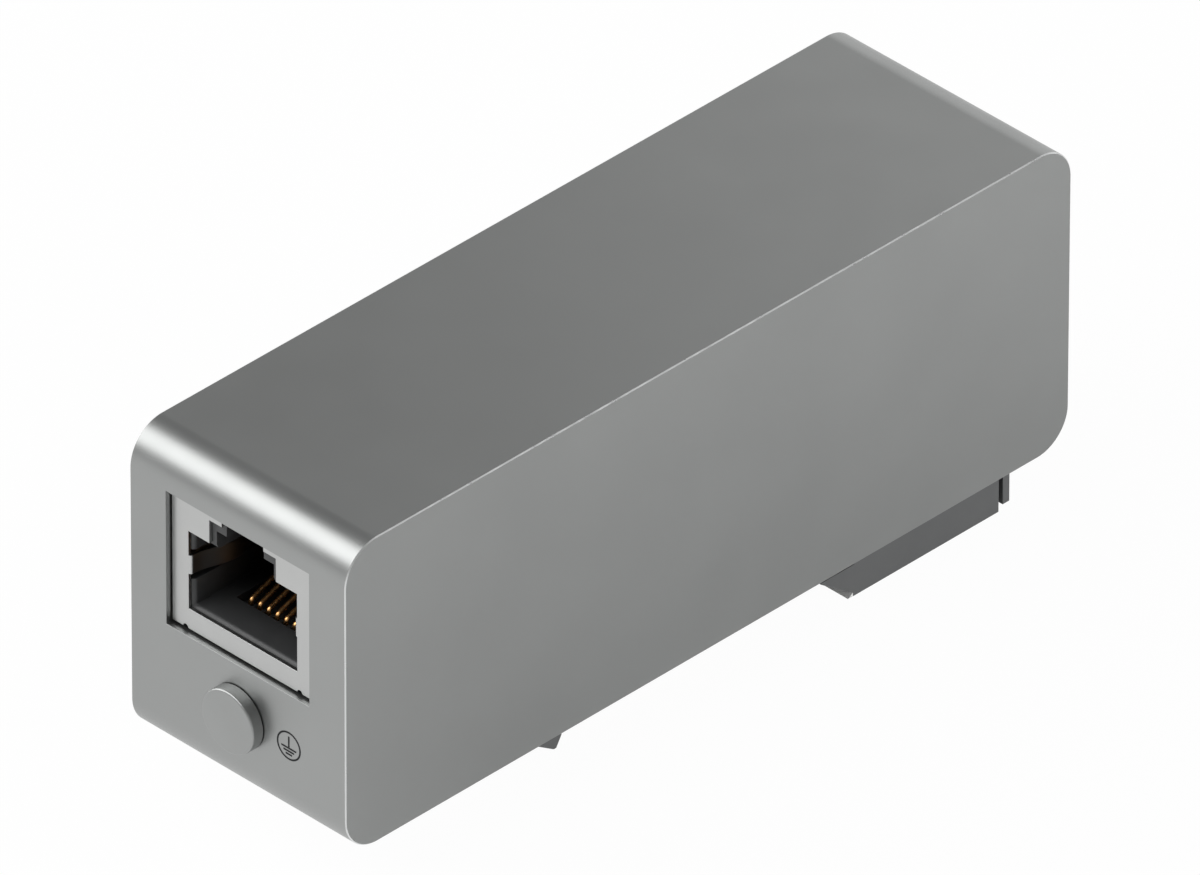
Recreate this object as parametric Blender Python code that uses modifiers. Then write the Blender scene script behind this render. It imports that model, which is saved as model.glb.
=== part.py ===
"""Inline ethernet surge protector that clips onto a 35 mm mounting rail.

Metres, +Z up. The origin is the middle of the face that rests on the rail. The rail runs along X,
the front end with the ground screw looks along -Y, and the rear end looks along +Y.
"""

import math
from collections import namedtuple

import bmesh
import bpy
from mathutils import Matrix, Vector

MM = 0.001
WELD = 0.000001
SHARP_ANGLE = math.radians(35)

# Clearances
GAP = 0.3 * MM
HEAD_GAP = 0.1 * MM
OVERRUN = 1.0 * MM

# Housing
HOUSING_WIDTH = 24.5 * MM
HOUSING_LENGTH = 82.8 * MM
HOUSING_HEIGHT = 29.8 * MM
CORNER_RADIUS = 3.6 * MM
CORNER_STEPS = 12
EDGE_CHAMFER = 0.1 * MM
WALL = 1.6 * MM
HOLE_CHAMFER = 0.05 * MM

# Bottom cover and the ledge that it lies against
COVER_THICKNESS = 1.2 * MM
COVER_CORNER = 1.5 * MM
COVER_STEPS = 3
COVER_RIM = 0.5 * MM
LEDGE_THICKNESS = 1.2 * MM
LEDGE_WIDTH = 1.0 * MM
PILLAR_RADIUS = 2.6 * MM
PILLAR_DROP = 1.8 * MM
PILLAR_FROM_SIDE = 4.05 * MM
PILLAR_FROM_END = 7.0 * MM

# Rail and clip
RAIL_WIDTH = 35.0 * MM
RAIL_PLAY = 0.2 * MM
RAIL_SLOT = 1.2 * MM
RAIL_OFFSET = 1.85 * MM
PLATE_THICKNESS = 1.4 * MM
PLATE_WIDTH = 14.6 * MM
CLIP_DEPTH = 4.35 * MM
HOOK_WALL = 2.0 * MM
HOOK_REACH = 3.64 * MM
HOOK_FLAT = 0.3 * MM
HOOK_LEAD_HEIGHT = 1.03 * MM
HOOK_LEAD_WIDTH = 0.6 * MM
HOOK_BACK_SLOPE = math.radians(33)
GUIDE_DEPTH = 2.6 * MM
TONGUE_REACH = 1.0 * MM
TONGUE_HEIGHT = 1.0 * MM
TONGUE_DROP = 0.6 * MM
TONGUE_INSET = 0.2 * MM
POCKET_WALL = 1.4 * MM

# Latch
LATCH_SKIN = 0.75 * MM
LATCH_LENGTH = 16.8 * MM
LATCH_TRAVEL = 3.8 * MM
LATCH_END_WALL = 1.3 * MM
NOSE_EDGE = 0.15 * MM
NOSE_SLOPE = math.radians(35.6)
TOE_HEIGHT = 0.36 * MM
TOE_REACH = 0.56 * MM
TAB_THICKNESS = 0.8 * MM
TAB_DEPTH = 3.85 * MM
PRY_SLOT = 0.45 * MM
BRIDGE_THICKNESS = 2.0 * MM
SPRING_RADIUS = 1.5 * MM
SPRING_WIRE = 0.4 * MM
SPRING_TURNS = 5
SPRING_STEPS = 10
SPIGOT_LENGTH = 1.5 * MM

# Screws
COVER_SCREW_RADIUS = 1.0 * MM
COVER_SCREW_HEAD = 1.9 * MM
COVER_SCREW_RISE = 0.9 * MM
COVER_SCREW_LENGTH = 6.5 * MM
CLIP_SCREW_RADIUS = 1.25 * MM
CLIP_SCREW_HEAD = 2.2 * MM
CLIP_SCREW_RISE = 0.95 * MM
CLIP_SCREW_LENGTH = 4.2 * MM
CLIP_SCREW_SPACING = 18.0 * MM
BOARD_SCREW_RADIUS = 1.1 * MM
BOARD_SCREW_HEAD = 2.1 * MM
BOARD_SCREW_RISE = 1.2 * MM
BOARD_SCREW_CROWN = 1.7 * MM
BOARD_SCREW_LENGTH = 6.5 * MM
KEY_RADIUS = 0.9 * MM
KEY_DEPTH = 0.6 * MM
KEY_SIDES = 6
HEAD_SINK = 0.1 * MM
SCREW_SIDES = 16
CLIP_BOSS_HEIGHT = 2.2 * MM
BOSS_WALL = 1.1 * MM

# Ground screw, whose height is measured down from the socket's middle, and its bracket
GROUND_DROP = 11.5 * MM
GROUND_HEAD_RADIUS = 2.95 * MM
GROUND_HEAD_REACH = 1.25 * MM
GROUND_HEAD_CHAMFER = 0.15 * MM
GROUND_SHANK_RADIUS = 1.5 * MM
GROUND_SHANK_LENGTH = 5.5 * MM
BRACKET_THICKNESS = 1.0 * MM
BRACKET_WIDTH = 9.0 * MM
BRACKET_FOOT = 8.0 * MM

# Sockets, measured from the middle of the shield's face
JACK_FROM_TOP = 10.4 * MM
JACK_RECESS = 0.7 * MM
SHIELD_WIDTH = 15.7 * MM
SHIELD_HEIGHT = 12.4 * MM
SHIELD_LENGTH = 16.0 * MM
SHIELD_SHEET = 0.3 * MM
OPENING_HALF_WIDTH = 6.17 * MM
OPENING_FLOOR = -4.4 * MM
OPENING_TOP = 3.15 * MM
KEYWAY_HALF_WIDTH = 3.77 * MM
KEYWAY_TOP = 5.4 * MM
CATCH_HALF_WIDTH = 2.35 * MM
CATCH_TOP = 5.85 * MM
SEAM_NOTCH_X = 6.5 * MM
SEAM_NOTCH_RADIUS = 0.25 * MM
PEG_WIDTH = 1.4 * MM
PEG_DEPTH = 8.0 * MM
INSERT_LENGTH = 15.0 * MM
LIP = 0.3 * MM
LIP_DEPTH = 0.45 * MM
CAVITY_DEPTH = 12.0 * MM
KEYWAY_DEPTH = 8.0 * MM
WELL_START = 3.55 * MM
WELL_DEPTH = 0.9 * MM
CONTACT_EXIT = 1.1 * MM
FINGER_HEIGHT = 1.8 * MM
FINGER_SHEET = 0.25 * MM
FINGER_MIDDLE = -0.1 * MM
FINGER_LENGTH = 8.5 * MM
FINGER_BULGE = 1.05 * MM
FINGER_ROOM_ABOVE = 0.4 * MM
FINGER_ROOM_BELOW = 0.65 * MM
CONTACT_COUNT = 8
CONTACT_PITCH = 1.0 * MM
CONTACT_RADIUS = 0.22 * MM
CONTACT_TIP = 4.25 * MM
CONTACT_SLOPE = math.radians(20)
CONTACT_TAIL = 1.0 * MM

# Circuit board and what is on it
BOARD_THICKNESS = 1.6 * MM
BOARD_END_CLEARANCE = 1.6 * MM
POST_RADIUS = 2.5 * MM
POST_FROM_JACK = 3.2 * MM
STAGE_COUNT = 4
STAGE_MARGIN = 1.0 * MM
TUBE_RADIUS = 2.5 * MM
TUBE_LENGTH = 7.6 * MM
TUBE_X = -4.6 * MM
TUBE_BAND = 1.0 * MM
TUBE_WAIST = 0.25 * MM
ARRAY_LENGTH = 5.0 * MM
ARRAY_WIDTH = 4.0 * MM
ARRAY_HEIGHT = 1.6 * MM
ARRAY_X = 5.4 * MM
LEG_COUNT = 4
LEG_PITCH = 1.27 * MM
LEG_WIDTH = 0.45 * MM
LEG_REACH = 1.0 * MM

# Places worked out from the sizes above
Screw = namedtuple("Screw", "radius head rise length")
COVER_SCREW = Screw(COVER_SCREW_RADIUS, COVER_SCREW_HEAD, COVER_SCREW_RISE, COVER_SCREW_LENGTH)
CLIP_SCREW = Screw(CLIP_SCREW_RADIUS, CLIP_SCREW_HEAD, CLIP_SCREW_RISE, CLIP_SCREW_LENGTH)
BOARD_SCREW = Screw(BOARD_SCREW_RADIUS, BOARD_SCREW_HEAD, BOARD_SCREW_RISE, BOARD_SCREW_LENGTH)
BASE_Z = PLATE_THICKNESS + GAP
MIDDLE_Y = -RAIL_OFFSET
FRONT_Y = MIDDLE_Y - HOUSING_LENGTH / 2
REAR_Y = MIDDLE_Y + HOUSING_LENGTH / 2
TOP_Z = BASE_Z + HOUSING_HEIGHT
INNER_RADIUS = max(CORNER_RADIUS - WALL, GAP)
REBATE_Z = BASE_Z + COVER_THICKNESS + GAP
FLOOR_Z = REBATE_Z + LEDGE_THICKNESS
REBATE_WIDTH = HOUSING_WIDTH - 2 * WALL
REBATE_LENGTH = HOUSING_LENGTH - 2 * (CORNER_RADIUS + COVER_RIM)
PILLAR_X = HOUSING_WIDTH / 2 - PILLAR_FROM_SIDE
PILLAR_Y = HOUSING_LENGTH / 2 - PILLAR_FROM_END
PILLAR_SPOTS = [(side * PILLAR_X, MIDDLE_Y + end * PILLAR_Y) for end in (-1, 1) for side in (-1, 1)]
RAIL_EDGE = RAIL_WIDTH / 2
ROOT_Y = RAIL_EDGE + RAIL_PLAY
CHANNEL_X = PLATE_WIDTH / 2 + GAP
GROOVE_X = CHANNEL_X + TONGUE_REACH
LATCH_WIDTH = 2 * (GROOVE_X + LATCH_SKIN)
LATCH_END_Y = ROOT_Y + LATCH_LENGTH
CHANNEL_FRONT_Y = ROOT_Y + LATCH_END_WALL
CHANNEL_REAR_Y = LATCH_END_Y - LATCH_END_WALL
GUIDE_FRONT_Y = CHANNEL_FRONT_Y + LATCH_TRAVEL + GAP
GUIDE_REAR_Y = CHANNEL_REAR_Y - GAP
CHANNEL_Z = -GUIDE_DEPTH - GAP
LATCH_TOP_Z = PLATE_THICKNESS - GAP
SPRING_Z = CHANNEL_Z + GAP + SPRING_RADIUS
SPRING_START_Y = CHANNEL_FRONT_Y + GAP
SPRING_END_Y = GUIDE_REAR_Y - POCKET_WALL - GAP
JACK_Z = TOP_Z - JACK_FROM_TOP
GROUND_SPOT = Vector((0, FRONT_Y, JACK_Z - GROUND_DROP))
BOARD_TOP_Z = JACK_Z - SHIELD_HEIGHT / 2 - GAP
BOARD_BOTTOM_Z = BOARD_TOP_Z - BOARD_THICKNESS
PILLAR_TOP_Z = BOARD_BOTTOM_Z - PILLAR_DROP
POST_Y = HOUSING_LENGTH / 2 - JACK_RECESS - SHIELD_LENGTH - POST_FROM_JACK
POST_SPOTS = [(0.0, MIDDLE_Y + end * POST_Y) for end in (-1, 1)]
STAGE_PITCH = 2 * (POST_Y - BOARD_SCREW_HEAD - STAGE_MARGIN) / STAGE_COUNT
CLIP_SCREW_SPOTS = [(0.0, end * CLIP_SCREW_SPACING / 2) for end in (-1, 1)]
WELL_HALF_WIDTH = CONTACT_COUNT * CONTACT_PITCH / 2 + GAP
CONTACT_TAIL_Y = CAVITY_DEPTH - CONTACT_EXIT / 2
CONTACT_XS = [(i - (CONTACT_COUNT - 1) / 2) * CONTACT_PITCH for i in range(CONTACT_COUNT)]

# A side view has its outline across Y and Z, a front view across X and Z, and a plan across X and Y
SIDE_VIEW = Matrix(((0, 0, 1), (1, 0, 0), (0, 1, 0)))
FRONT_VIEW = Matrix(((1, 0, 0), (0, 0, -1), (0, 1, 0)))
PLAN = Matrix.Identity(3)

# Colour, metallic and roughness of each finish
FINISHES = {
    "aluminium": ((0.55, 0.56, 0.55), 1.0, 0.35),
    "steel": ((0.62, 0.61, 0.59), 1.0, 0.3),
    "bright_sheet": ((0.72, 0.72, 0.72), 1.0, 0.3),
    "grey_plastic": ((0.16, 0.165, 0.165), 0.0, 0.5),
    "black_plastic": ((0.02, 0.02, 0.021), 0.0, 0.45),
    "gold": ((0.83, 0.58, 0.26), 1.0, 0.2),
    "board": ((0.03, 0.16, 0.07), 0.0, 0.5),
    "ceramic": ((0.75, 0.74, 0.72), 0.0, 0.4),
}


def clear_scene():
    for obj in list(bpy.data.objects):
        bpy.data.objects.remove(obj, do_unlink=True)


def new_collection(name):
    made = bpy.data.collections.new(name)
    bpy.context.scene.collection.children.link(made)
    return made


def as_part(obj, finish):
    """Puts the object among the parts, with a material of its own."""
    PARTS.objects.link(obj)
    color, metallic, roughness = FINISHES[finish]
    material = bpy.data.materials.new(obj.name)
    material.use_nodes = True
    shader = material.node_tree.nodes["Principled BSDF"]
    shader.inputs["Base Color"].default_value = (*color, 1)
    shader.inputs["Metallic"].default_value = metallic
    shader.inputs["Roughness"].default_value = roughness
    obj.data.materials.append(material)
    return obj


def as_cutter(obj):
    CUTTERS.objects.link(obj)
    obj.hide_render = True
    obj.display_type = "WIRE"
    return obj


def boolean(target, tool, operation):
    modifier = target.modifiers.new(f"{operation.lower()} {tool.name}", "BOOLEAN")
    modifier.operation = operation
    modifier.object = tool


def smooth_by_angle():
    """A modifier group that shades a mesh smooth, apart from the edges that turn by more than the angle."""
    group = bpy.data.node_groups.new("smooth by angle", "GeometryNodeTree")
    for way in ("INPUT", "OUTPUT"):
        group.interface.new_socket("Geometry", in_out=way, socket_type="NodeSocketGeometry")
    nodes = group.nodes
    start = nodes.new("NodeGroupInput")
    faces = nodes.new("GeometryNodeSetShadeSmooth")
    edges = nodes.new("GeometryNodeSetShadeSmooth")
    edges.domain = "EDGE"
    edges.inputs["Shade Smooth"].default_value = False
    turn = nodes.new("GeometryNodeInputMeshEdgeAngle")
    sharp = nodes.new("FunctionNodeCompare")
    sharp.inputs["B"].default_value = SHARP_ANGLE
    end = nodes.new("NodeGroupOutput")
    for source, target in (
        (start.outputs[0], faces.inputs["Geometry"]),
        (faces.outputs[0], edges.inputs["Geometry"]),
        (turn.outputs["Unsigned Angle"], sharp.inputs["A"]),
        (sharp.outputs[0], edges.inputs["Selection"]),
        (edges.outputs[0], end.inputs[0]),
    ):
        group.links.new(source, target)
    return group


def shade_parts():
    """Smooths round surfaces, and weighs normals by face area so that the flats beside them stay flat."""
    group = smooth_by_angle()
    for obj in PARTS.objects:
        if obj.type == "MESH":
            obj.modifiers.new("smooth by angle", "NODES").node_group = group
            obj.modifiers.new("normals", "WEIGHTED_NORMAL").keep_sharp = True


def cut(target, *tools):
    for tool in tools:
        boolean(target, as_cutter(tool), "DIFFERENCE")


def join(target, *tools):
    for tool in tools:
        boolean(target, as_cutter(tool), "UNION")


def from_bmesh(name, shape):
    bmesh.ops.recalc_face_normals(shape, faces=shape.faces)
    mesh = bpy.data.meshes.new(name)
    shape.to_mesh(mesh)
    shape.free()
    return bpy.data.objects.new(name, mesh)


def block(name, low, high):
    """A box between two opposite corners."""
    low, high = Vector(low), Vector(high)
    shape = bmesh.new()
    bmesh.ops.create_cube(shape, size=1)
    bmesh.ops.scale(shape, vec=high - low, verts=shape.verts)
    obj = from_bmesh(name, shape)
    obj.location = (low + high) / 2
    return obj


def flared_block(name, low, high, flare, depth, lead):
    """A block that leads in along Y with a wide mouth, and narrows by flare over the given depth."""
    low, high = Vector(low), Vector(high)
    size = high - low
    shape = bmesh.new()
    bmesh.ops.create_cube(shape, size=1)
    along = [edge for edge in shape.edges if abs(edge.verts[0].co.y - edge.verts[1].co.y) > 0.5]
    bmesh.ops.subdivide_edges(shape, edges=along, cuts=2)
    sections = (0, lead, lead + depth, size.y)
    for vert in shape.verts:
        section = round((vert.co.y + 0.5) * (len(sections) - 1))
        widening = 2 * flare if section < 2 else 0
        vert.co.x *= size.x + widening
        vert.co.y = sections[section] - size.y / 2
        vert.co.z *= size.z + widening
    obj = from_bmesh(name, shape)
    obj.location = (low + high) / 2
    return obj


def bar(name, radius, start, end, sides=24):
    """A round bar between two points."""
    start, end = Vector(start), Vector(end)
    length = (end - start).length
    shape = bmesh.new()
    bmesh.ops.create_cone(shape, cap_ends=True, segments=sides, radius1=radius, radius2=radius, depth=length)
    obj = from_bmesh(name, shape)
    obj.location = (start + end) / 2
    obj.rotation_mode = "QUATERNION"
    obj.rotation_quaternion = (end - start).to_track_quat("Z", "Y")
    return obj


def turned(name, profile, sides):
    """A profile of (radius, height) points turned about Z. It runs from the top of the axis to its foot."""
    mesh = bpy.data.meshes.new(name)
    edges = [(i, i + 1) for i in range(len(profile) - 1)]
    mesh.from_pydata([(radius, 0, height) for radius, height in profile], edges, [])
    obj = bpy.data.objects.new(name, mesh)
    screw = obj.modifiers.new("turn", "SCREW")
    screw.steps = screw.render_steps = sides
    screw.use_merge_vertices = True
    screw.merge_threshold = WELD
    return obj


def solid_from_curve(guide):
    """The curve's mesh with its caps welded on, in the curve's place."""
    CUTTERS.objects.link(guide)
    graph = bpy.context.evaluated_depsgraph_get()
    mesh = bpy.data.meshes.new_from_object(guide.evaluated_get(graph))
    name, place = guide.name, guide.matrix_world.copy()
    bpy.data.objects.remove(guide)
    shape = bmesh.new()
    shape.from_mesh(mesh)
    bmesh.ops.remove_doubles(shape, verts=shape.verts, dist=WELD)
    obj = from_bmesh(name, shape)
    obj.matrix_world = place
    return obj


def outline_solid(name, outline, thickness, view, middle=(0, 0, 0), chamfer=0.0):
    """A flat outline given half its thickness each way, with its rims chamfered."""
    curve = bpy.data.curves.new(name, "CURVE")
    curve.dimensions = "2D"
    curve.fill_mode = "BOTH"
    curve.extrude = thickness / 2 - chamfer
    curve.bevel_depth = chamfer
    curve.bevel_resolution = 0
    curve.offset = -chamfer
    spline = curve.splines.new("POLY")
    spline.points.add(len(outline) - 1)
    for point, (across, up) in zip(spline.points, outline):
        point.co = (across, up, 0, 1)
    spline.use_cyclic_u = True
    guide = bpy.data.objects.new(name, curve)
    guide.matrix_world = Matrix.Translation(middle) @ view.to_4x4()
    return solid_from_curve(guide)


def wire(name, points, radius):
    curve = bpy.data.curves.new(name, "CURVE")
    curve.dimensions = "3D"
    curve.bevel_depth = radius
    curve.bevel_resolution = 2
    curve.use_fill_caps = True
    spline = curve.splines.new("POLY")
    spline.points.add(len(points) - 1)
    for point, place in zip(spline.points, points):
        point.co = (*place, 1)
    return solid_from_curve(bpy.data.objects.new(name, curve))


def rounded_rectangle(width, height, radius, steps):
    """The outline of a rectangle about the origin, with an arc of that many steps at each corner."""
    points = []
    for quarter in range(4):
        sign_x = 1 if quarter in (0, 3) else -1
        sign_y = 1 if quarter < 2 else -1
        middle = (sign_x * (width / 2 - radius), sign_y * (height / 2 - radius))
        for step in range(steps + 1):
            angle = (quarter + step / steps) * math.pi / 2
            points.append((middle[0] + radius * math.cos(angle), middle[1] + radius * math.sin(angle)))
    return points


def countersunk_screw(name, screw, spot):
    """A screw with its flat head down."""
    profile = [
        (0, screw.length),
        (screw.radius, screw.length),
        (screw.radius, screw.rise),
        (screw.head, 0),
        (0, 0),
    ]
    obj = as_part(turned(name, profile, SCREW_SIDES), "steel")
    obj.location = spot
    low = Vector(spot) - Vector((0, 0, OVERRUN))
    high = Vector(spot) + Vector((0, 0, KEY_DEPTH))
    cut(obj, bar(f"{name}_key", KEY_RADIUS, low, high, sides=KEY_SIDES))


def countersunk_hole(name, screw, spot):
    """The hole for a countersunk screw, with a gap all round it."""
    radius = screw.radius + GAP
    mouth = screw.head + GAP
    profile = [
        (0, screw.length),
        (radius, screw.length),
        (radius, screw.rise),
        (mouth, 0),
        (mouth, -OVERRUN),
        (0, -OVERRUN),
    ]
    obj = turned(name, profile, SCREW_SIDES)
    obj.location = spot
    return obj


def housing():
    height = TOP_Z - WALL - FLOOR_Z
    body = outline_solid(
        "housing",
        rounded_rectangle(HOUSING_LENGTH, HOUSING_HEIGHT, CORNER_RADIUS, CORNER_STEPS),
        HOUSING_WIDTH,
        SIDE_VIEW,
        (0, MIDDLE_Y, BASE_Z + HOUSING_HEIGHT / 2),
        EDGE_CHAMFER,
    )
    as_part(body, "aluminium")
    cut(
        body,
        outline_solid(
            "housing_hollow",
            rounded_rectangle(HOUSING_LENGTH - 2 * WALL, height, INNER_RADIUS, CORNER_STEPS // 2),
            HOUSING_WIDTH - 2 * WALL,
            SIDE_VIEW,
            (0, MIDDLE_Y, FLOOR_Z + height / 2),
        ),
        outline_solid(
            "housing_mouth",
            rounded_rectangle(
                REBATE_WIDTH - 2 * LEDGE_WIDTH, REBATE_LENGTH - 2 * LEDGE_WIDTH, COVER_CORNER, COVER_STEPS
            ),
            FLOOR_Z - BASE_Z + 2 * OVERRUN,
            PLAN,
            (0, MIDDLE_Y, (FLOOR_Z + BASE_Z) / 2),
        ),
    )
    for index, (x, y) in enumerate(PILLAR_SPOTS):
        low = (x, y, REBATE_Z - GAP)
        join(body, bar(f"pillar_{index + 1}", PILLAR_RADIUS, low, (x, y, PILLAR_TOP_Z)))
    cut(
        body,
        outline_solid(
            "cover_rebate",
            rounded_rectangle(REBATE_WIDTH, REBATE_LENGTH, COVER_CORNER, COVER_STEPS),
            REBATE_Z - BASE_Z + OVERRUN,
            PLAN,
            (0, MIDDLE_Y, (REBATE_Z + BASE_Z - OVERRUN) / 2),
        ),
    )
    radius = COVER_SCREW.radius + GAP
    depth = COVER_SCREW.length + OVERRUN
    for index, (x, y) in enumerate(PILLAR_SPOTS):
        low = (x, y, BASE_Z)
        cut(body, bar(f"pillar_bore_{index + 1}", radius, low, (x, y, BASE_Z + depth), sides=SCREW_SIDES))
    half = Vector((SHIELD_WIDTH / 2 + GAP, 0, SHIELD_HEIGHT / 2 + GAP))
    for name, place in JACKS.items():
        hole = flared_block(
            f"{name}_hole",
            Vector((0, -JACK_RECESS - OVERRUN, 0)) - half,
            Vector((0, WALL + OVERRUN, 0)) + half,
            HOLE_CHAMFER,
            HOLE_CHAMFER,
            OVERRUN,
        )
        hole.parent = place
        cut(body, hole)
    reach = Vector((0, WALL + OVERRUN, 0))
    cut(body, bar("ground_hole", GROUND_SHANK_RADIUS + GAP, GROUND_SPOT - reach, GROUND_SPOT + reach))


def bottom_cover():
    cover = outline_solid(
        "bottom_cover",
        rounded_rectangle(REBATE_WIDTH - 2 * GAP, REBATE_LENGTH - 2 * GAP, COVER_CORNER - GAP, COVER_STEPS),
        COVER_THICKNESS,
        PLAN,
        (0, MIDDLE_Y, BASE_Z + COVER_THICKNESS / 2),
    )
    as_part(cover, "aluminium")
    inside = BASE_Z + COVER_THICKNESS / 2
    for index, (x, y) in enumerate(POST_SPOTS):
        top = BOARD_BOTTOM_Z - GAP
        join(cover, bar(f"board_post_{index + 1}", POST_RADIUS, (x, y, inside), (x, y, top)))
        low = (x, y, BOARD_TOP_Z - BOARD_SCREW.length)
        high = (x, y, top + OVERRUN)
        cut(cover, bar(f"post_bore_{index + 1}", BOARD_SCREW.radius + GAP, low, high, sides=SCREW_SIDES))
    for index, (x, y) in enumerate(CLIP_SCREW_SPOTS):
        radius = CLIP_SCREW.radius + GAP
        top = BASE_Z + COVER_THICKNESS + CLIP_BOSS_HEIGHT
        join(cover, bar(f"clip_boss_{index + 1}", radius + BOSS_WALL, (x, y, inside), (x, y, top)))
        low = (x, y, BASE_Z - OVERRUN)
        high = (x, y, top + OVERRUN)
        cut(cover, bar(f"clip_thread_{index + 1}", radius, low, high, sides=SCREW_SIDES))
    for index, (x, y) in enumerate(PILLAR_SPOTS):
        spot = (x, y, BASE_Z + HEAD_SINK)
        cut(cover, countersunk_hole(f"cover_hole_{index + 1}", COVER_SCREW, spot))
        countersunk_screw(f"cover_screw_{index + 1}", COVER_SCREW, spot)


def clip_base():
    hook_outer = -ROOT_Y - HOOK_WALL
    hook_tip = -RAIL_EDGE + HOOK_REACH
    flat_rear = hook_tip - HOOK_LEAD_WIDTH
    flat_front = flat_rear - HOOK_FLAT
    back_z = -CLIP_DEPTH + (flat_front - hook_outer) * math.tan(HOOK_BACK_SLOPE)
    outline = [
        (GUIDE_REAR_Y, PLATE_THICKNESS),
        (hook_outer, PLATE_THICKNESS),
        (hook_outer, back_z),
        (flat_front, -CLIP_DEPTH),
        (flat_rear, -CLIP_DEPTH),
        (hook_tip, -CLIP_DEPTH + HOOK_LEAD_HEIGHT),
        (hook_tip, -RAIL_SLOT),
        (-ROOT_Y, -RAIL_SLOT),
        (-ROOT_Y, 0),
        (GUIDE_FRONT_Y, 0),
        (GUIDE_FRONT_Y, -GUIDE_DEPTH),
        (GUIDE_REAR_Y, -GUIDE_DEPTH),
    ]
    base = as_part(outline_solid("clip_base", outline, PLATE_WIDTH, SIDE_VIEW), "grey_plastic")
    tongue = PLATE_WIDTH / 2 + TONGUE_REACH
    join(
        base,
        block(
            "guide_tongues",
            (-tongue, GUIDE_FRONT_Y + TONGUE_INSET, -TONGUE_DROP - TONGUE_HEIGHT),
            (tongue, GUIDE_REAR_Y - TONGUE_INSET, -TONGUE_DROP),
        ),
    )
    pocket = SPRING_RADIUS + GAP
    cut(
        base,
        block(
            "spring_pocket",
            (-pocket, SPRING_START_Y - GAP, -GUIDE_DEPTH - OVERRUN),
            (pocket, GUIDE_REAR_Y - POCKET_WALL, SPRING_Z + pocket),
        ),
    )
    for index, (x, y) in enumerate(CLIP_SCREW_SPOTS):
        spot = (x, y, HEAD_SINK)
        cut(base, countersunk_hole(f"clip_hole_{index + 1}", CLIP_SCREW, spot))
        countersunk_screw(f"clip_screw_{index + 1}", CLIP_SCREW, spot)


def rail_latch():
    nose_tip = RAIL_EDGE - HOOK_REACH
    nose_low = -RAIL_SLOT - NOSE_EDGE
    notch_z = -CLIP_DEPTH + TOE_HEIGHT
    notch_y = nose_tip + (nose_low - notch_z) / math.tan(NOSE_SLOPE)
    tab_front = LATCH_END_Y + PRY_SLOT
    bridge_z = LATCH_TOP_Z - BRIDGE_THICKNESS
    outline = [
        (ROOT_Y, LATCH_TOP_Z),
        (ROOT_Y, -RAIL_SLOT),
        (nose_tip, -RAIL_SLOT),
        (nose_tip, nose_low),
        (notch_y, notch_z),
        (notch_y - TOE_REACH, -CLIP_DEPTH),
        (LATCH_END_Y, -CLIP_DEPTH),
        (LATCH_END_Y, bridge_z),
        (tab_front, bridge_z),
        (tab_front, -TAB_DEPTH),
        (tab_front + TAB_THICKNESS, -TAB_DEPTH),
        (tab_front + TAB_THICKNESS, LATCH_TOP_Z),
    ]
    latch = as_part(outline_solid("rail_latch", outline, LATCH_WIDTH, SIDE_VIEW), "grey_plastic")
    cut(
        latch,
        block(
            "latch_channel",
            (-CHANNEL_X, CHANNEL_FRONT_Y, CHANNEL_Z),
            (CHANNEL_X, CHANNEL_REAR_Y, LATCH_TOP_Z + OVERRUN),
        ),
        block(
            "latch_plate_way",
            (-CHANNEL_X, ROOT_Y - OVERRUN, -GAP),
            (CHANNEL_X, CHANNEL_FRONT_Y + OVERRUN, LATCH_TOP_Z + OVERRUN),
        ),
        block(
            "latch_grooves",
            (-GROOVE_X, CHANNEL_FRONT_Y, -TONGUE_DROP - TONGUE_HEIGHT - GAP),
            (GROOVE_X, CHANNEL_REAR_Y, -TONGUE_DROP + GAP),
        ),
    )
    start = (0, CHANNEL_FRONT_Y - LATCH_END_WALL / 2, SPRING_Z)
    end = (0, CHANNEL_FRONT_Y + SPIGOT_LENGTH, SPRING_Z)
    join(latch, bar("spring_spigot", SPRING_RADIUS - SPRING_WIRE - GAP, start, end, sides=12))


def latch_spring():
    radius = SPRING_RADIUS - SPRING_WIRE / 2
    start = SPRING_START_Y + SPRING_WIRE / 2
    length = SPRING_END_Y - SPRING_WIRE / 2 - start
    points = []
    for step in range(SPRING_TURNS * SPRING_STEPS + 1):
        turn = step / SPRING_STEPS
        angle = 2 * math.pi * turn
        along = start + length * turn / SPRING_TURNS
        points.append((radius * math.cos(angle), along, SPRING_Z + radius * math.sin(angle)))
    as_part(wire("latch_spring", points, SPRING_WIRE / 2), "steel")


def ground_screw():
    """The head stands proud of the front face, and the shank goes through the wall into the bracket."""
    chamfer = GROUND_HEAD_CHAMFER
    profile = [
        (0, GROUND_HEAD_REACH),
        (GROUND_HEAD_RADIUS - chamfer, GROUND_HEAD_REACH),
        (GROUND_HEAD_RADIUS, GROUND_HEAD_REACH - chamfer),
        (GROUND_HEAD_RADIUS, HEAD_GAP),
        (GROUND_SHANK_RADIUS, HEAD_GAP),
        (GROUND_SHANK_RADIUS, GROUND_SHANK_RADIUS / 2 - GROUND_SHANK_LENGTH),
        (GROUND_SHANK_RADIUS / 2, -GROUND_SHANK_LENGTH),
        (0, -GROUND_SHANK_LENGTH),
    ]
    screw = as_part(turned("ground_screw", profile, 40), "aluminium")
    screw.location = GROUND_SPOT
    screw.rotation_euler = (math.pi / 2, 0, 0)


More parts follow.
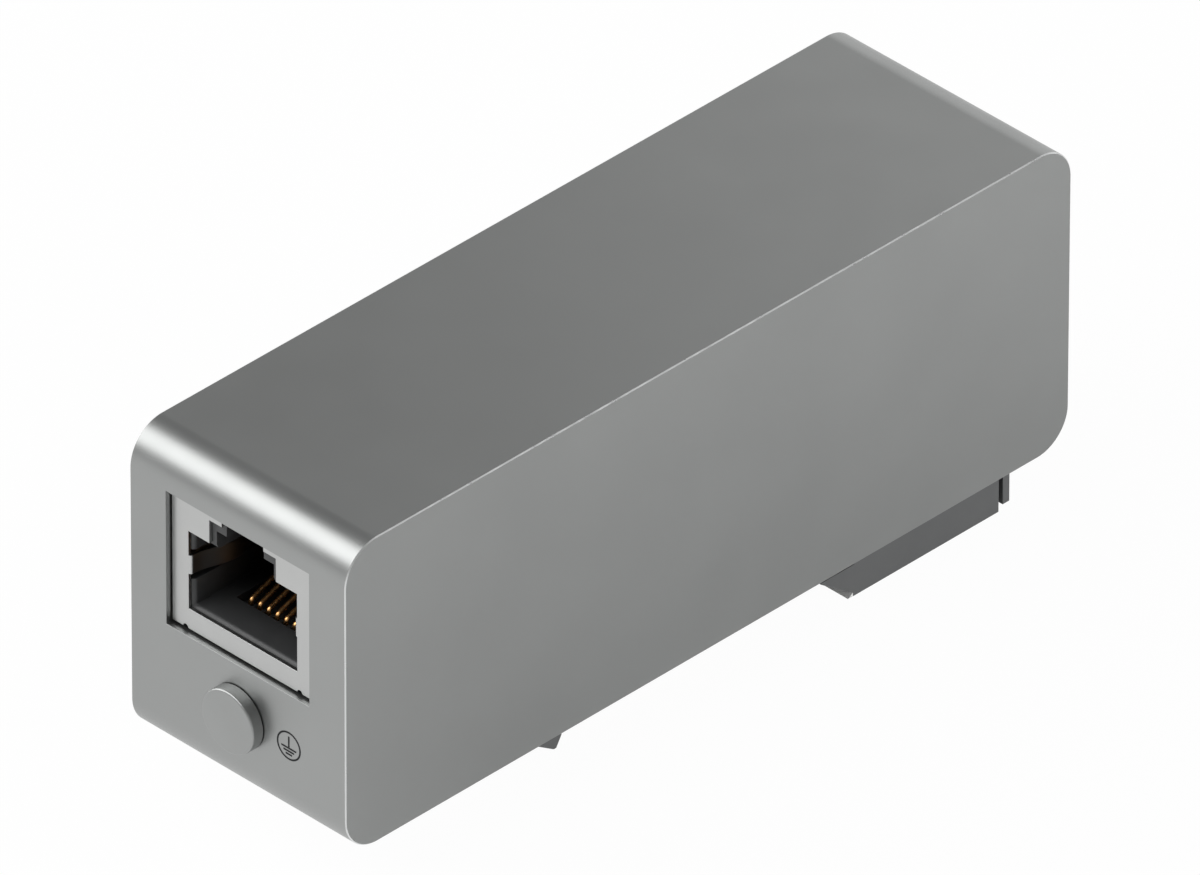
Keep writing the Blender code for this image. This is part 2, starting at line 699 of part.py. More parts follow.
def ground_bracket():
    back = FRONT_Y + WALL + GAP
    top = BOARD_BOTTOM_Z - GAP
    low = FLOOR_Z + INNER_RADIUS
    outline = [
        (back, low),
        (back + BRACKET_THICKNESS, low),
        (back + BRACKET_THICKNESS, top - BRACKET_THICKNESS),
        (back + BRACKET_FOOT, top - BRACKET_THICKNESS),
        (back + BRACKET_FOOT, top),
        (back, top),
    ]
    bracket = as_part(outline_solid("ground_bracket", outline, BRACKET_WIDTH, SIDE_VIEW), "steel")
    reach = Vector((0, WALL + GAP + BRACKET_THICKNESS + OVERRUN, 0))
    cut(bracket, bar("bracket_thread", GROUND_SHANK_RADIUS + GAP, GROUND_SPOT, GROUND_SPOT + reach))


def keyed_opening(inset, top=CATCH_TOP):
    """The outline of a socket with a keyway and a catch above it, drawn in by inset."""
    sides = [
        (CATCH_HALF_WIDTH - inset, top),
        (CATCH_HALF_WIDTH - inset, KEYWAY_TOP - inset),
        (KEYWAY_HALF_WIDTH - inset, KEYWAY_TOP - inset),
        (KEYWAY_HALF_WIDTH - inset, OPENING_TOP - inset),
        (OPENING_HALF_WIDTH - inset, OPENING_TOP - inset),
        (OPENING_HALF_WIDTH - inset, OPENING_FLOOR + inset),
    ]
    return sides + [(-x, z) for x, z in reversed(sides)]


def in_jack(place, *objects):
    for obj in objects:
        obj.parent = place
    return objects


def finger(name, side):
    """A strip bent in from the side of the opening, which bulges into the socket and comes back."""
    edge = OPENING_HALF_WIDTH
    path = [
        (edge + GAP, SHIELD_SHEET / 2),
        (edge - LIP / 2, SHIELD_SHEET / 2),
        (edge - LIP, SHIELD_SHEET),
        (edge - LIP - GAP / 2, LIP_DEPTH * 2),
        (edge - FINGER_BULGE, FINGER_LENGTH / 2),
        (edge, FINGER_LENGTH),
    ]
    shape = bmesh.new()
    low = FINGER_MIDDLE - FINGER_HEIGHT / 2
    high = FINGER_MIDDLE + FINGER_HEIGHT / 2
    rows = [[shape.verts.new((side * x, y, z)) for z in (low, high)] for x, y in path]
    for near, far in zip(rows, rows[1:]):
        shape.faces.new((near[0], far[0], far[1], near[1]))
    obj = from_bmesh(name, shape)
    thicken = obj.modifiers.new("sheet", "SOLIDIFY")
    thicken.thickness = FINGER_SHEET
    thicken.offset = 0
    return obj


def jack_shield(prefix, place):
    half_width = SHIELD_WIDTH / 2
    half_height = SHIELD_HEIGHT / 2
    shield = block(
        f"{prefix}_jack_shield", (-half_width, 0, -half_height), (half_width, SHIELD_LENGTH, half_height)
    )
    as_part(shield, "bright_sheet")
    inner_width = half_width - SHIELD_SHEET
    inner_height = half_height - SHIELD_SHEET
    hollow = block(
        f"{prefix}_shield_hollow",
        (-inner_width, SHIELD_SHEET, -inner_height),
        (inner_width, SHIELD_LENGTH + OVERRUN, inner_height),
    )
    opening = outline_solid(f"{prefix}_shield_opening", keyed_opening(0), 4 * SHIELD_SHEET, FRONT_VIEW)
    tail_way = block(
        f"{prefix}_shield_tail_way",
        (-WELL_HALF_WIDTH, CONTACT_TAIL_Y - CONTACT_EXIT, -half_height - OVERRUN),
        (WELL_HALF_WIDTH, CONTACT_TAIL_Y + CONTACT_EXIT, -inner_height + GAP),
    )
    cut(shield, *in_jack(place, hollow, opening, tail_way))
    for side in (-1, 1):
        spot = Vector((side * SEAM_NOTCH_X, 0, -half_height))
        reach = Vector((0, SHIELD_SHEET / 2, 0))
        notch = bar(f"{prefix}_seam_notch_{side}", SEAM_NOTCH_RADIUS, spot - reach, spot + reach, sides=12)
        cut(shield, *in_jack(place, notch))
        outer = side * half_width
        peg = block(
            f"{prefix}_shield_peg_{side}",
            (min(outer, outer - side * SHIELD_SHEET), PEG_DEPTH, BOARD_BOTTOM_Z - JACK_Z - GAP),
            (max(outer, outer - side * SHIELD_SHEET), PEG_DEPTH + PEG_WIDTH, 0),
        )
        join(shield, *in_jack(place, peg, finger(f"{prefix}_finger_{side}", side)))
    shield.parent = place


def jack_insert(prefix, place):
    """The moulded block with the socket, whose mouth is wider than its cavity by a sloping lip."""
    start = SHIELD_SHEET + GAP
    half_width = SHIELD_WIDTH / 2 - SHIELD_SHEET - GAP
    half_height = SHIELD_HEIGHT / 2 - SHIELD_SHEET - GAP
    end = start + INSERT_LENGTH
    low = (-half_width, start, -half_height)
    insert = block(f"{prefix}_jack_insert", low, (half_width, end, half_height))
    as_part(insert, "black_plastic")
    inner = OPENING_HALF_WIDTH - LIP
    floor = OPENING_FLOOR + LIP
    ceiling = OPENING_TOP - LIP
    cavity = flared_block(
        f"{prefix}_cavity",
        (-inner, start - GAP / 2, floor),
        (inner, CAVITY_DEPTH, ceiling),
        LIP,
        LIP_DEPTH,
        GAP / 2,
    )
    keyway = block(
        f"{prefix}_keyway",
        (LIP - KEYWAY_HALF_WIDTH, 0, ceiling - GAP),
        (KEYWAY_HALF_WIDTH - LIP, KEYWAY_DEPTH, KEYWAY_TOP - LIP),
    )
    catch = block(
        f"{prefix}_catch",
        (LIP - CATCH_HALF_WIDTH, 0, ceiling - GAP),
        (CATCH_HALF_WIDTH - LIP, KEYWAY_DEPTH / 2, half_height + OVERRUN),
    )
    well = block(
        f"{prefix}_well",
        (-WELL_HALF_WIDTH, WELL_START, floor - WELL_DEPTH),
        (WELL_HALF_WIDTH, CAVITY_DEPTH, floor + GAP),
    )
    tail_way = block(
        f"{prefix}_tail_way",
        (-WELL_HALF_WIDTH, CAVITY_DEPTH - CONTACT_EXIT, -half_height - OVERRUN),
        (WELL_HALF_WIDTH, CAVITY_DEPTH, floor),
    )
    finger_way = block(
        f"{prefix}_finger_way",
        (-half_width - OVERRUN, 0, FINGER_MIDDLE - FINGER_HEIGHT / 2 - FINGER_ROOM_BELOW),
        (
            half_width + OVERRUN,
            FINGER_LENGTH + 2 * GAP,
            FINGER_MIDDLE + FINGER_HEIGHT / 2 + FINGER_ROOM_ABOVE,
        ),
    )
    cut(insert, *in_jack(place, cavity, keyway, catch, well, tail_way, finger_way))
    insert.parent = place


def jack_contacts(prefix, place):
    """Spring wires that rise from behind the floor's edge and turn down through the board."""
    tip_z = OPENING_FLOOR + LIP - CONTACT_RADIUS / 2
    crest_y = CONTACT_TAIL_Y - CONTACT_EXIT
    crest_z = tip_z + (crest_y - CONTACT_TIP) * math.tan(CONTACT_SLOPE)
    bend = CONTACT_EXIT / 2
    side_path = [
        (CONTACT_TIP - GAP, tip_z - GAP),
        (CONTACT_TIP, tip_z),
        (crest_y, crest_z),
        (crest_y + bend, crest_z),
        (CONTACT_TAIL_Y, crest_z - bend),
        (CONTACT_TAIL_Y, BOARD_BOTTOM_Z - JACK_Z - CONTACT_TAIL),
    ]
    for index, x in enumerate(CONTACT_XS):
        points = [(x, y, z) for y, z in side_path]
        as_part(wire(f"{prefix}_contact_{index + 1}", points, CONTACT_RADIUS), "gold").parent = place


def circuit_board():
    half_width = HOUSING_WIDTH / 2 - WALL - GAP
    half_length = HOUSING_LENGTH / 2 - WALL - BOARD_END_CLEARANCE
    board = block(
        "circuit_board",
        (-half_width, MIDDLE_Y - half_length, BOARD_BOTTOM_Z),
        (half_width, MIDDLE_Y + half_length, BOARD_TOP_Z),
    )
    as_part(board, "board")
    low = BOARD_BOTTOM_Z - OVERRUN
    high = BOARD_TOP_Z + OVERRUN
    for index, (x, y) in enumerate(POST_SPOTS):
        radius = BOARD_SCREW.radius + GAP
        cut(board, bar(f"board_hole_{index + 1}", radius, (x, y, low), (x, y, high), sides=SCREW_SIDES))
    for prefix, place in JACKS.items():
        for index, x in enumerate(CONTACT_XS):
            start = (x, CONTACT_TAIL_Y, low - JACK_Z)
            end = (x, CONTACT_TAIL_Y, high - JACK_Z)
            hole = bar(f"{prefix}_tail_hole_{index + 1}", CONTACT_RADIUS + GAP / 2, start, end, sides=8)
            cut(board, *in_jack(place, hole))
        for side in (-1, 1):
            outer = side * (SHIELD_WIDTH / 2 + GAP)
            inner = side * (SHIELD_WIDTH / 2 - SHIELD_SHEET - GAP)
            slot = block(
                f"{prefix}_peg_slot_{side}",
                (min(outer, inner), PEG_DEPTH - GAP, low - JACK_Z),
                (max(outer, inner), PEG_DEPTH + PEG_WIDTH + GAP, high - JACK_Z),
            )
            cut(board, *in_jack(place, slot))


def board_screw(name, spot):
    """A round-headed screw, head up, that holds the board to its post."""
    radius, head, rise, length = BOARD_SCREW
    profile = [
        (0, rise),
        (BOARD_SCREW_CROWN, rise),
        (head, rise / 2),
        (head, 0),
        (radius, 0),
        (radius, -length),
        (0, -length),
    ]
    screw = as_part(turned(name, profile, SCREW_SIDES), "steel")
    screw.location = spot
    low = Vector(spot) + Vector((0, 0, rise - KEY_DEPTH))
    high = Vector(spot) + Vector((0, 0, rise + OVERRUN))
    cut(screw, bar(f"{name}_key", KEY_RADIUS, low, high, sides=KEY_SIDES))


def gas_tube(name, spot):
    """A three-electrode tube lying along X: metal bands at both ends and the middle, ceramic between."""
    half = TUBE_LENGTH / 2
    band = TUBE_BAND / 2
    waist = TUBE_RADIUS - TUBE_WAIST
    heights = [half, half - TUBE_BAND, half - TUBE_BAND, band, band, -band, -band]
    heights += [TUBE_BAND - half, TUBE_BAND - half, -half]
    radii = [TUBE_RADIUS, TUBE_RADIUS, waist, waist, TUBE_RADIUS, TUBE_RADIUS, waist, waist]
    radii += [TUBE_RADIUS, TUBE_RADIUS]
    profile = [(0, half), *zip(radii, heights), (0, -half)]
    tube = as_part(turned(name, profile, 16), "ceramic")
    tube.location = spot
    tube.rotation_euler = (0, math.pi / 2, 0)


def diode_array(name, spot):
    """A moulded body with a row of bent legs along each long side."""
    x, y, z = spot
    body = block(
        name,
        (x - ARRAY_WIDTH / 2, y - ARRAY_LENGTH / 2, z + GAP),
        (x + ARRAY_WIDTH / 2, y + ARRAY_LENGTH / 2, z + ARRAY_HEIGHT),
    )
    as_part(body, "black_plastic")
    reach = ARRAY_WIDTH / 2 + LEG_REACH
    shoulder = ARRAY_WIDTH / 2 + LEG_REACH / 2
    middle = (ARRAY_HEIGHT + GAP) / 2
    half_leg = LEG_WIDTH / 4
    outline = [
        (-reach, 0),
        (half_leg * 2 - shoulder, 0),
        (half_leg * 2 - shoulder, middle - half_leg),
        (shoulder - half_leg * 2, middle - half_leg),
        (shoulder - half_leg * 2, 0),
        (reach, 0),
        (reach, half_leg * 2),
        (shoulder, half_leg * 2),
        (shoulder, middle + half_leg),
        (-shoulder, middle + half_leg),
        (-shoulder, half_leg * 2),
        (-reach, half_leg * 2),
    ]
    for leg in range(LEG_COUNT):
        along = y + (leg - (LEG_COUNT - 1) / 2) * LEG_PITCH
        join(body, outline_solid(f"{name}_leg_{leg + 1}", outline, LEG_WIDTH, FRONT_VIEW, (x, along, z)))


def board_pieces():
    top = BOARD_TOP_Z + GAP
    for index, (x, y) in enumerate(POST_SPOTS):
        board_screw(f"board_screw_{index + 1}", (x, y, top))
    for stage in range(STAGE_COUNT):
        y = MIDDLE_Y + (stage - (STAGE_COUNT - 1) / 2) * STAGE_PITCH
        gas_tube(f"gas_tube_{stage + 1}", (TUBE_X, y, top + TUBE_RADIUS))
        diode_array(f"tvs_array_{stage + 1}", (ARRAY_X, y, top))


def jack_places():
    """An empty at the middle of each shield's face, turned so that its +Y leads into the housing."""
    places = {}
    for name, y, turn in (("front", FRONT_Y + JACK_RECESS, 0), ("rear", REAR_Y - JACK_RECESS, math.pi)):
        empty = bpy.data.objects.new(f"{name}_jack", None)
        PARTS.objects.link(empty)
        empty.location = (0, y, JACK_Z)
        empty.rotation_euler = (0, 0, turn)
        places[name] = empty
    return places


clear_scene()
PARTS = new_collection("ethernet_surge_protector")
CUTTERS = new_collection("cutters")
CUTTERS.hide_render = True
JACKS = jack_places()
housing()
bottom_cover()
clip_base()
rail_latch()
latch_spring()
ground_screw()
ground_bracket()
circuit_board()
board_pieces()
for jack_name, jack_place in JACKS.items():
    jack_shield(jack_name, jack_place)
    jack_insert(jack_name, jack_place)
    jack_contacts(jack_name, jack_place)
shade_parts()
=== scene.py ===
"""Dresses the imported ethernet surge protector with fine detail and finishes, on a pale floor in soft light.

Metres, +Z up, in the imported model's own frame: the front end with the ground screw looks along -Y.
"""

import math

import bmesh
import bpy
from bpy.props import FloatProperty, FloatVectorProperty, IntProperty, PointerProperty
from bpy.types import Operator, Panel, PropertyGroup
from mathutils import Matrix, Vector


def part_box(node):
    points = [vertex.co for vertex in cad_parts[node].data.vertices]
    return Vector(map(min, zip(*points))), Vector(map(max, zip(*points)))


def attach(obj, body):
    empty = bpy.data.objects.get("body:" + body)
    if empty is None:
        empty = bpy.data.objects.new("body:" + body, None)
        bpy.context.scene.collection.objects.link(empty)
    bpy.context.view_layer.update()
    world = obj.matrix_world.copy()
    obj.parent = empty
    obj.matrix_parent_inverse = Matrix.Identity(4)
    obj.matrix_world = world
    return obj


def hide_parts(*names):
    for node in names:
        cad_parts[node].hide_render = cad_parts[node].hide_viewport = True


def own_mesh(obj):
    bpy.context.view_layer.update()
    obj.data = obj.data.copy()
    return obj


bl_info = {
    "name": "Ethernet surge protector",
    "version": (1, 0, 0),
    "blender": (4, 5, 0),
    "location": "3D View > Sidebar > Surge Protector",
    "description": "Builds the dressed pieces of an inline ethernet surge protector around its packed model",
    "category": "Object",
}

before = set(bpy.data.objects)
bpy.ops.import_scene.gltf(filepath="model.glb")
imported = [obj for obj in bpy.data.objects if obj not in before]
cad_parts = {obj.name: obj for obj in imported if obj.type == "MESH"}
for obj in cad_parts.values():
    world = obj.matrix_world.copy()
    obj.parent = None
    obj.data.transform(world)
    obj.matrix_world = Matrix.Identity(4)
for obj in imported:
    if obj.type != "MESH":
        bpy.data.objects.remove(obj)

MM = 0.001
WELD = 0.000001
OVERRUN = 1.0 * MM
GAP = 0.3 * MM
FLOOR_GAP = 0.02 * MM
SHARP_ANGLE = math.radians(30)

# Facets of the round forms
BAR_SIDES = 48
NOTCH_SIDES = 24
RING_SIDES = 64
FLOOR_SIDES = 96
HOLLOW_STEPS = 12
WELL_STEPS = 8
RIM_STEPS = 4
LIP_STEPS = 4
EDGE_STEPS = 3
FOLD_STEPS = 6
SWING_STEPS = 8
FRONT_BEND_STEPS = 8
REAR_BEND_STEPS = 12

# Most values of a noise texture lie between these
NOISE_RANGE = (0.3, 0.7)

# Where the light of the sky changes, by how far a direction points to the rear and up
REARWARD_RANGE = (-0.8, 0.8)
UPWARD_RANGE = (0.15, 0.70)

# Each wire pair has a gas tube and a diode array
PAIRS = 4

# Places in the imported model
CASE_LOW, CASE_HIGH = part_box("housing")
FRONT_Y = CASE_LOW.y
REAR_Y = CASE_HIGH.y
MIDDLE_Y = (FRONT_Y + REAR_Y) / 2
BASE_Z = CASE_LOW.z
TOP_Z = CASE_HIGH.z
BLOCK_LOW, BLOCK_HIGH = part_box("front_jack_insert")
SOCKET_Z = (BLOCK_LOW.z + BLOCK_HIGH.z) / 2
FRONT_SHIELD_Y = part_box("front_jack_shield")[0].y
REAR_SHIELD_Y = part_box("rear_jack_shield")[1].y
SHIELD_WIDTH = 2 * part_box("front_jack_shield")[1].x
SHIELD_HEIGHT = 2 * (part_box("front_jack_shield")[1].z - SOCKET_Z)
SHIELD_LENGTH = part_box("front_jack_shield")[1].y - FRONT_SHIELD_Y
BOARD_LOW, BOARD_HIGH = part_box("circuit_board")
KNOB_LOW, KNOB_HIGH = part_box("ground_screw")
KNOB_RADIUS = KNOB_HIGH.x
KNOB_Z = (KNOB_LOW.z + KNOB_HIGH.z) / 2
FEET_Z = min(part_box("rail_latch")[0].z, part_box("clip_base")[0].z)

KNOB_AXIS = Matrix.Translation((0, FRONT_Y, KNOB_Z)) @ Matrix.Rotation(math.pi / 2, 4, "X")
SCREWS = {
    kind: [f"{kind}_screw_{index + 1}" for index in range(number)]
    for kind, number in (("cover", 4), ("clip", 2), ("board", 2))
}
SOCKETS = {
    "front": Matrix.Translation((0, FRONT_SHIELD_Y, SOCKET_Z)),
    "rear": Matrix.Translation((0, REAR_SHIELD_Y, SOCKET_Z)) @ Matrix.Rotation(math.pi, 4, "Z"),
}

# A side view has its outline across Y and Z, a front view across X and Z, and a plan across X and Y
SIDE_VIEW = Matrix(((0, 0, 1), (1, 0, 0), (0, 1, 0)))
FRONT_VIEW = Matrix(((1, 0, 0), (0, 0, -1), (0, 1, 0)))
PLAN = Matrix.Identity(3)


def length(name, description, default):
    return FloatProperty(
        name=name, description=description, default=default, min=0, precision=5, unit="LENGTH"
    )


def offset(name, description, default):
    return FloatProperty(name=name, description=description, default=default, precision=5, unit="LENGTH")


def angle(name, description, default):
    return FloatProperty(name=name, description=description, default=default, unit="ROTATION")


def share(name, description, default):
    return FloatProperty(name=name, description=description, default=default, min=0, max=1, subtype="FACTOR")


def count(name, description, default):
    return IntProperty(name=name, description=description, default=default, min=1)


def place_of(name, description, default):
    """A spot measured from the case's middle."""
    return FloatVectorProperty(name=name, description=description, default=default, subtype="TRANSLATION")


def power(name, description, default):
    return FloatProperty(name=name, description=description, default=default, min=0, unit="POWER")


def color(name, description, default):
    return FloatVectorProperty(
        name=name, description=description, default=default, min=0, max=1, size=3, subtype="COLOR"
    )


class CaseSettings(PropertyGroup):
    corner_radius: length("Corner radius", "Radius of the four corners seen from the side", 3.6 * MM)
    corner_steps: count("Corner steps", "Facets round each of those corners", 32)
    edge_cut: length("Edge cut", "Width of the bright cut along both side edges", 0.1 * MM)
    hole_cut: length("Hole cut", "Chamfer round the socket holes", 0.01 * MM)
    wall: length("Wall", "Thickness of the case's wall", 1.6 * MM)
    floor: length("Floor", "From the underside up to the top of the ledge", 2.7 * MM)
    rebate: length("Rebate", "How deep the bottom cover sits in the case", 1.5 * MM)
    rebate_corner: length("Rebate corner", "Radius of the rebate's corners", 1.5 * MM)
    ledge: length("Ledge", "Width of the ledge that the bottom cover lies against", 1.0 * MM)
    pillar_radius: length("Pillar radius", "Half the thickness of the screw pillars", 2.6 * MM)
    pillar_drop: length("Pillar drop", "From the circuit board down to the pillars' tops", 1.8 * MM)
    bore_radius: length("Bore radius", "Radius of the screw bores in the pillars", 1.3 * MM)
    bore_depth: length("Bore depth", "From the underside up to the end of the screw bores", 7.5 * MM)
    color: color("Colour", "Anodised metal seen head on", (0.345, 0.352, 0.348))
    # Partly the bare metal of the cut chamfers, partly a painted highlight for the bright line of light along
    # the edges
    cut_highlight_color: color("Cut colour", "Bare metal of the cut edges", (0.74, 0.75, 0.75))
    roughness: share("Roughness", "How matt the blasted metal is", 0.38)
    grain: length("Grain", "Width of one grain of the blasted finish", 0.12 * MM)


class SocketSettings(PropertyGroup):
    sheet: length("Sheet", "Thickness of the shield's metal", 0.3 * MM)
    fold: length("Fold", "Radius of the shield's four long edges", 0.1 * MM)
    fit: length("Fit", "Space between the shield and the case", 0.14 * MM)
    reach: length("Reach", "How far the sheet's face stands out of the packed shield's", 0.14 * MM)
    rise: length("Rise", "How much higher the sheet is than the packed shield", 0.1 * MM)
    rim: length("Rim", "Rounding of the shield's outer front edges", 0.04 * MM)
    edge: length("Edge rounding", "Rounding of the opening's punched edge", 0.085 * MM)
    half_width: length("Opening half width", "From the middle of the opening to its side", 6.17 * MM)
    floor: length("Opening floor", "From the shield's middle down to the opening's lower edge", 4.4 * MM)
    top: length("Opening top", "From the shield's middle up to the opening's upper edge", 3.15 * MM)
    keyway_half_width: length("Keyway half width", "Half the width of the latch's way", 3.77 * MM)
    keyway_top: length("Keyway top", "From the shield's middle up to the latch's way", 5.4 * MM)
    catch_half_width: length("Catch half width", "Half the width of the notch above that", 2.35 * MM)
    catch_top: length("Catch top", "From the shield's middle up to that notch", 5.85 * MM)
    notch_place: length("Notch place", "From the middle out to the notches in the lower edge", 6.5 * MM)
    notch_radius: length("Notch radius", "Radius of those notches", 0.3 * MM)
    notch_depth: length("Notch depth", "How far those notches reach inwards", 1.0 * MM)
    peg_start: length("Peg start", "From the shield's face back to its solder pegs", 8.0 * MM)
    peg_width: length("Peg width", "Width of the solder pegs", 1.4 * MM)
    finger_sheet: length("Finger sheet", "Thickness of the sprung strip at each side", 0.25 * MM)
    finger_height: length("Finger height", "Width of that strip", 1.8 * MM)
    finger_drop: length("Finger drop", "From the shield's middle down to the middle of the strip", 0.1 * MM)
    finger_fold: length("Finger fold", "Radius of the bend at the strip's root", 0.15 * MM)
    finger_length: length("Finger length", "How far the strip reaches inwards", 8.5 * MM)
    finger_bulge: length("Finger bulge", "How far the strip stands into the socket", 1.05 * MM)
    color: color("Colour", "Plated sheet seen head on", (0.50, 0.505, 0.50))
    # Painted shade: the strips inside the socket get a darker copy of the sheet's colour
    strip_color: color("Strip colour", "The sprung strips, seen head on", (0.17, 0.165, 0.16))


class MouldingSettings(PropertyGroup):
    gap: length("Gap", "Between the shield's sheet and the moulding", 0.05 * MM)
    lip: length("Lip", "How far the moulding narrows behind the shield", 0.3 * MM)
    ceiling_lip: length("Ceiling lip", "The same at the ceiling", 0.53 * MM)
    lip_slope: angle("Lip slope", "How steep the lip's slope is", math.radians(60))
    lip_bend: length("Lip bend", "Radius of the bend from the slope to the walls", 0.5 * MM)
    depth: length("Depth", "From the shield's face to the back of the socket", 12.0 * MM)
    keyway_depth: length("Keyway depth", "From the shield's face to the back of the latch's way", 8.0 * MM)
    keyway_step: length("Keyway step", "How far the keyway's sides stand in from the sheet's", 0.53 * MM)
    keyway_rise: length("Keyway rise", "From the shield's middle up to the keyway's narrower part", 4.42 * MM)
    catch_step: length("Catch step", "How far that part's sides stand in from the sheet's notch", 0.25 * MM)
    well_start: length("Well start", "From the shield's face to the well for the wires", 3.55 * MM)
    well_depth: length("Well depth", "How deep that well is in the floor", 0.9 * MM)
    comb: length("Comb", "Thickness of the walls between the wires", 0.4 * MM)
    comb_length: length("Comb length", "How far those walls reach inwards", 1.05 * MM)
    comb_drop: length("Comb drop", "From the floor down to the tops of those walls", 0.6 * MM)
    tail_way: length("Tail way", "Length of the passage for the wires' tails", 1.1 * MM)
    room_above: length("Room above", "Space over the sprung strip", 0.4 * MM)
    room_below: length("Room below", "Space under the sprung strip", 0.65 * MM)
    # Painted shade in the socket: the plastic's colour darkens over this depth from the shield's face, down
    # to the darkest share
    lit_depth: length("Lit depth", "How far from the shield's face the plastic gets darker", 7.5 * MM)
    darkest: share("Darkest", "Share of the colour that is left there", 0.05)
    edge: length("Edge rounding", "Rounding of the moulded edges", 0.05 * MM)
    color: color("Colour", "Black plastic", (0.045, 0.046, 0.047))


class ContactSettings(PropertyGroup):
    number: count("Contacts", "Spring wires in one socket", 8)
    pitch: length("Pitch", "From one wire to the next", 1.0 * MM)
    radius: length("Wire radius", "Half the thickness of a wire", 0.22 * MM)
    tip: length("Tip depth", "From the shield's face to the wires' front bend", 4.39 * MM)
    tip_drop: length("Tip drop", "From the moulding's floor down to the top of the tips", 0.33 * MM)
    slope: angle("Slope", "How steeply the wires rise inwards", math.radians(20))
    front_bend: length("Front bend", "Radius of the bend at the tip", 0.4 * MM)
    lean: length("Lean", "How far the wires' ends below that bend lean inwards", 0.05 * MM)
    rear_bend: length("Rear bend", "Radius of the bend down to the board", 0.6 * MM)
    rear_lift: length("Rear lift", "How far that bend stands above the line of the slope", 0.048 * MM)
    tail_place: length("Tail place", "From the shield's face to the wires' tails", 10.95 * MM)
    tail: length("Tail", "How far the wires reach below the board", 1.0 * MM)
    color: color("Colour", "Gold plating seen head on", (0.90, 0.50, 0.20))


class KnobSettings(PropertyGroup):
    chamfer: length("Chamfer", "Rounding of the head's rim", 0.2 * MM)
    shank_radius: length("Shank radius", "Half the thickness of the shank", 1.5 * MM)
    seat: length("Seat", "Between the head and the case", 0.1 * MM)
    reach: length("Head reach", "How far the head stands out of the case", 1.25 * MM)
    sides: count("Sides", "Facets round the head", 96)


class MarkSettings(PropertyGroup):
    place: length("Place", "From the ground screw's axis to the middle of the mark", 5.79 * MM)
    radius: length("Radius", "Outer radius of the ring", 1.36 * MM)
    line: length("Line", "Thickness of the lines", 0.165 * MM)
    stem: length("Stem", "From the middle up to the stem's end", 0.90 * MM)
    drop: length("Drop", "From the middle down to the first bar", 0.23 * MM)
    step: length("Step", "From one bar to the next", 0.295 * MM)
    bars: count("Bars", "Bars below the stem", 3)
    bar: length("Bar", "Length of the first bar", 1.68 * MM)
    taper: length("Taper", "How much shorter each next bar is", 0.48 * MM)
    ink: length("Ink", "Thickness of the printed ink", 0.012 * MM)
    color: color("Colour", "Printed ink", (0.012, 0.013, 0.014))


class ClipSettings(PropertyGroup):
    edge: length("Edge rounding", "Rounding of the moulded edges", 0.1 * MM)
    toe_end: length("Toe end", "From the latch's nose back to the end of the toe's slope", 3.7 * MM)
    toe_height: length("Toe height", "How much that slope rises", 0.37 * MM)
    # Painted highlight: the slope of the toe is coloured nearly white to stand in for the light it catches
    toe_highlight_color: color("Toe colour", "The slope, where the rail has rubbed it pale", (0.95, 0.95, 0.94))
    color: color("Colour", "Grey plastic", (0.086, 0.089, 0.09))
    roughness: share("Roughness", "How matt the plastic is", 0.4)


class SpringSettings(PropertyGroup):
    wire: length("Wire radius", "Half the thickness of the wire", 0.2 * MM)
    turns: count("Turns", "Open turns, between a closed one at each end", 5)
    steps: count("Steps", "Points round one turn", 24)
    color: color("Colour", "Drawn steel wire", (0.42, 0.41, 0.40))


class BoardSettings(PropertyGroup):
    edge: length("Edge rounding", "Rounding of the small parts' edges", 0.05 * MM)
    band: length("Tube band", "Width of the gas tubes' metal end caps", 1.0 * MM)
    waist: length("Tube waist", "Width of the gas tubes' middle electrode", 1.0 * MM)
    leg: length("Leg", "How far the arrays' tinned legs reach out of the plastic", 1.0 * MM)
    color: color("Colour", "Solder mask", (0.012, 0.10, 0.035))
    ceramic_color: color("Ceramic colour", "Glazed tube bodies", (0.74, 0.73, 0.70))
    band_color: color("Band colour", "Metal bands of the tubes", (0.60, 0.60, 0.58))
    epoxy_color: color("Epoxy colour", "Black epoxy of the arrays", (0.025, 0.025, 0.027))
    leg_color: color("Leg colour", "Tinned legs of the arrays", (0.62, 0.62, 0.60))
    bracket_color: color("Bracket colour", "Tinned sheet of the ground bracket", (0.56, 0.56, 0.54))
    screw_color: color("Screw colour", "Zinc-plated steel of the screws", (0.55, 0.56, 0.55))


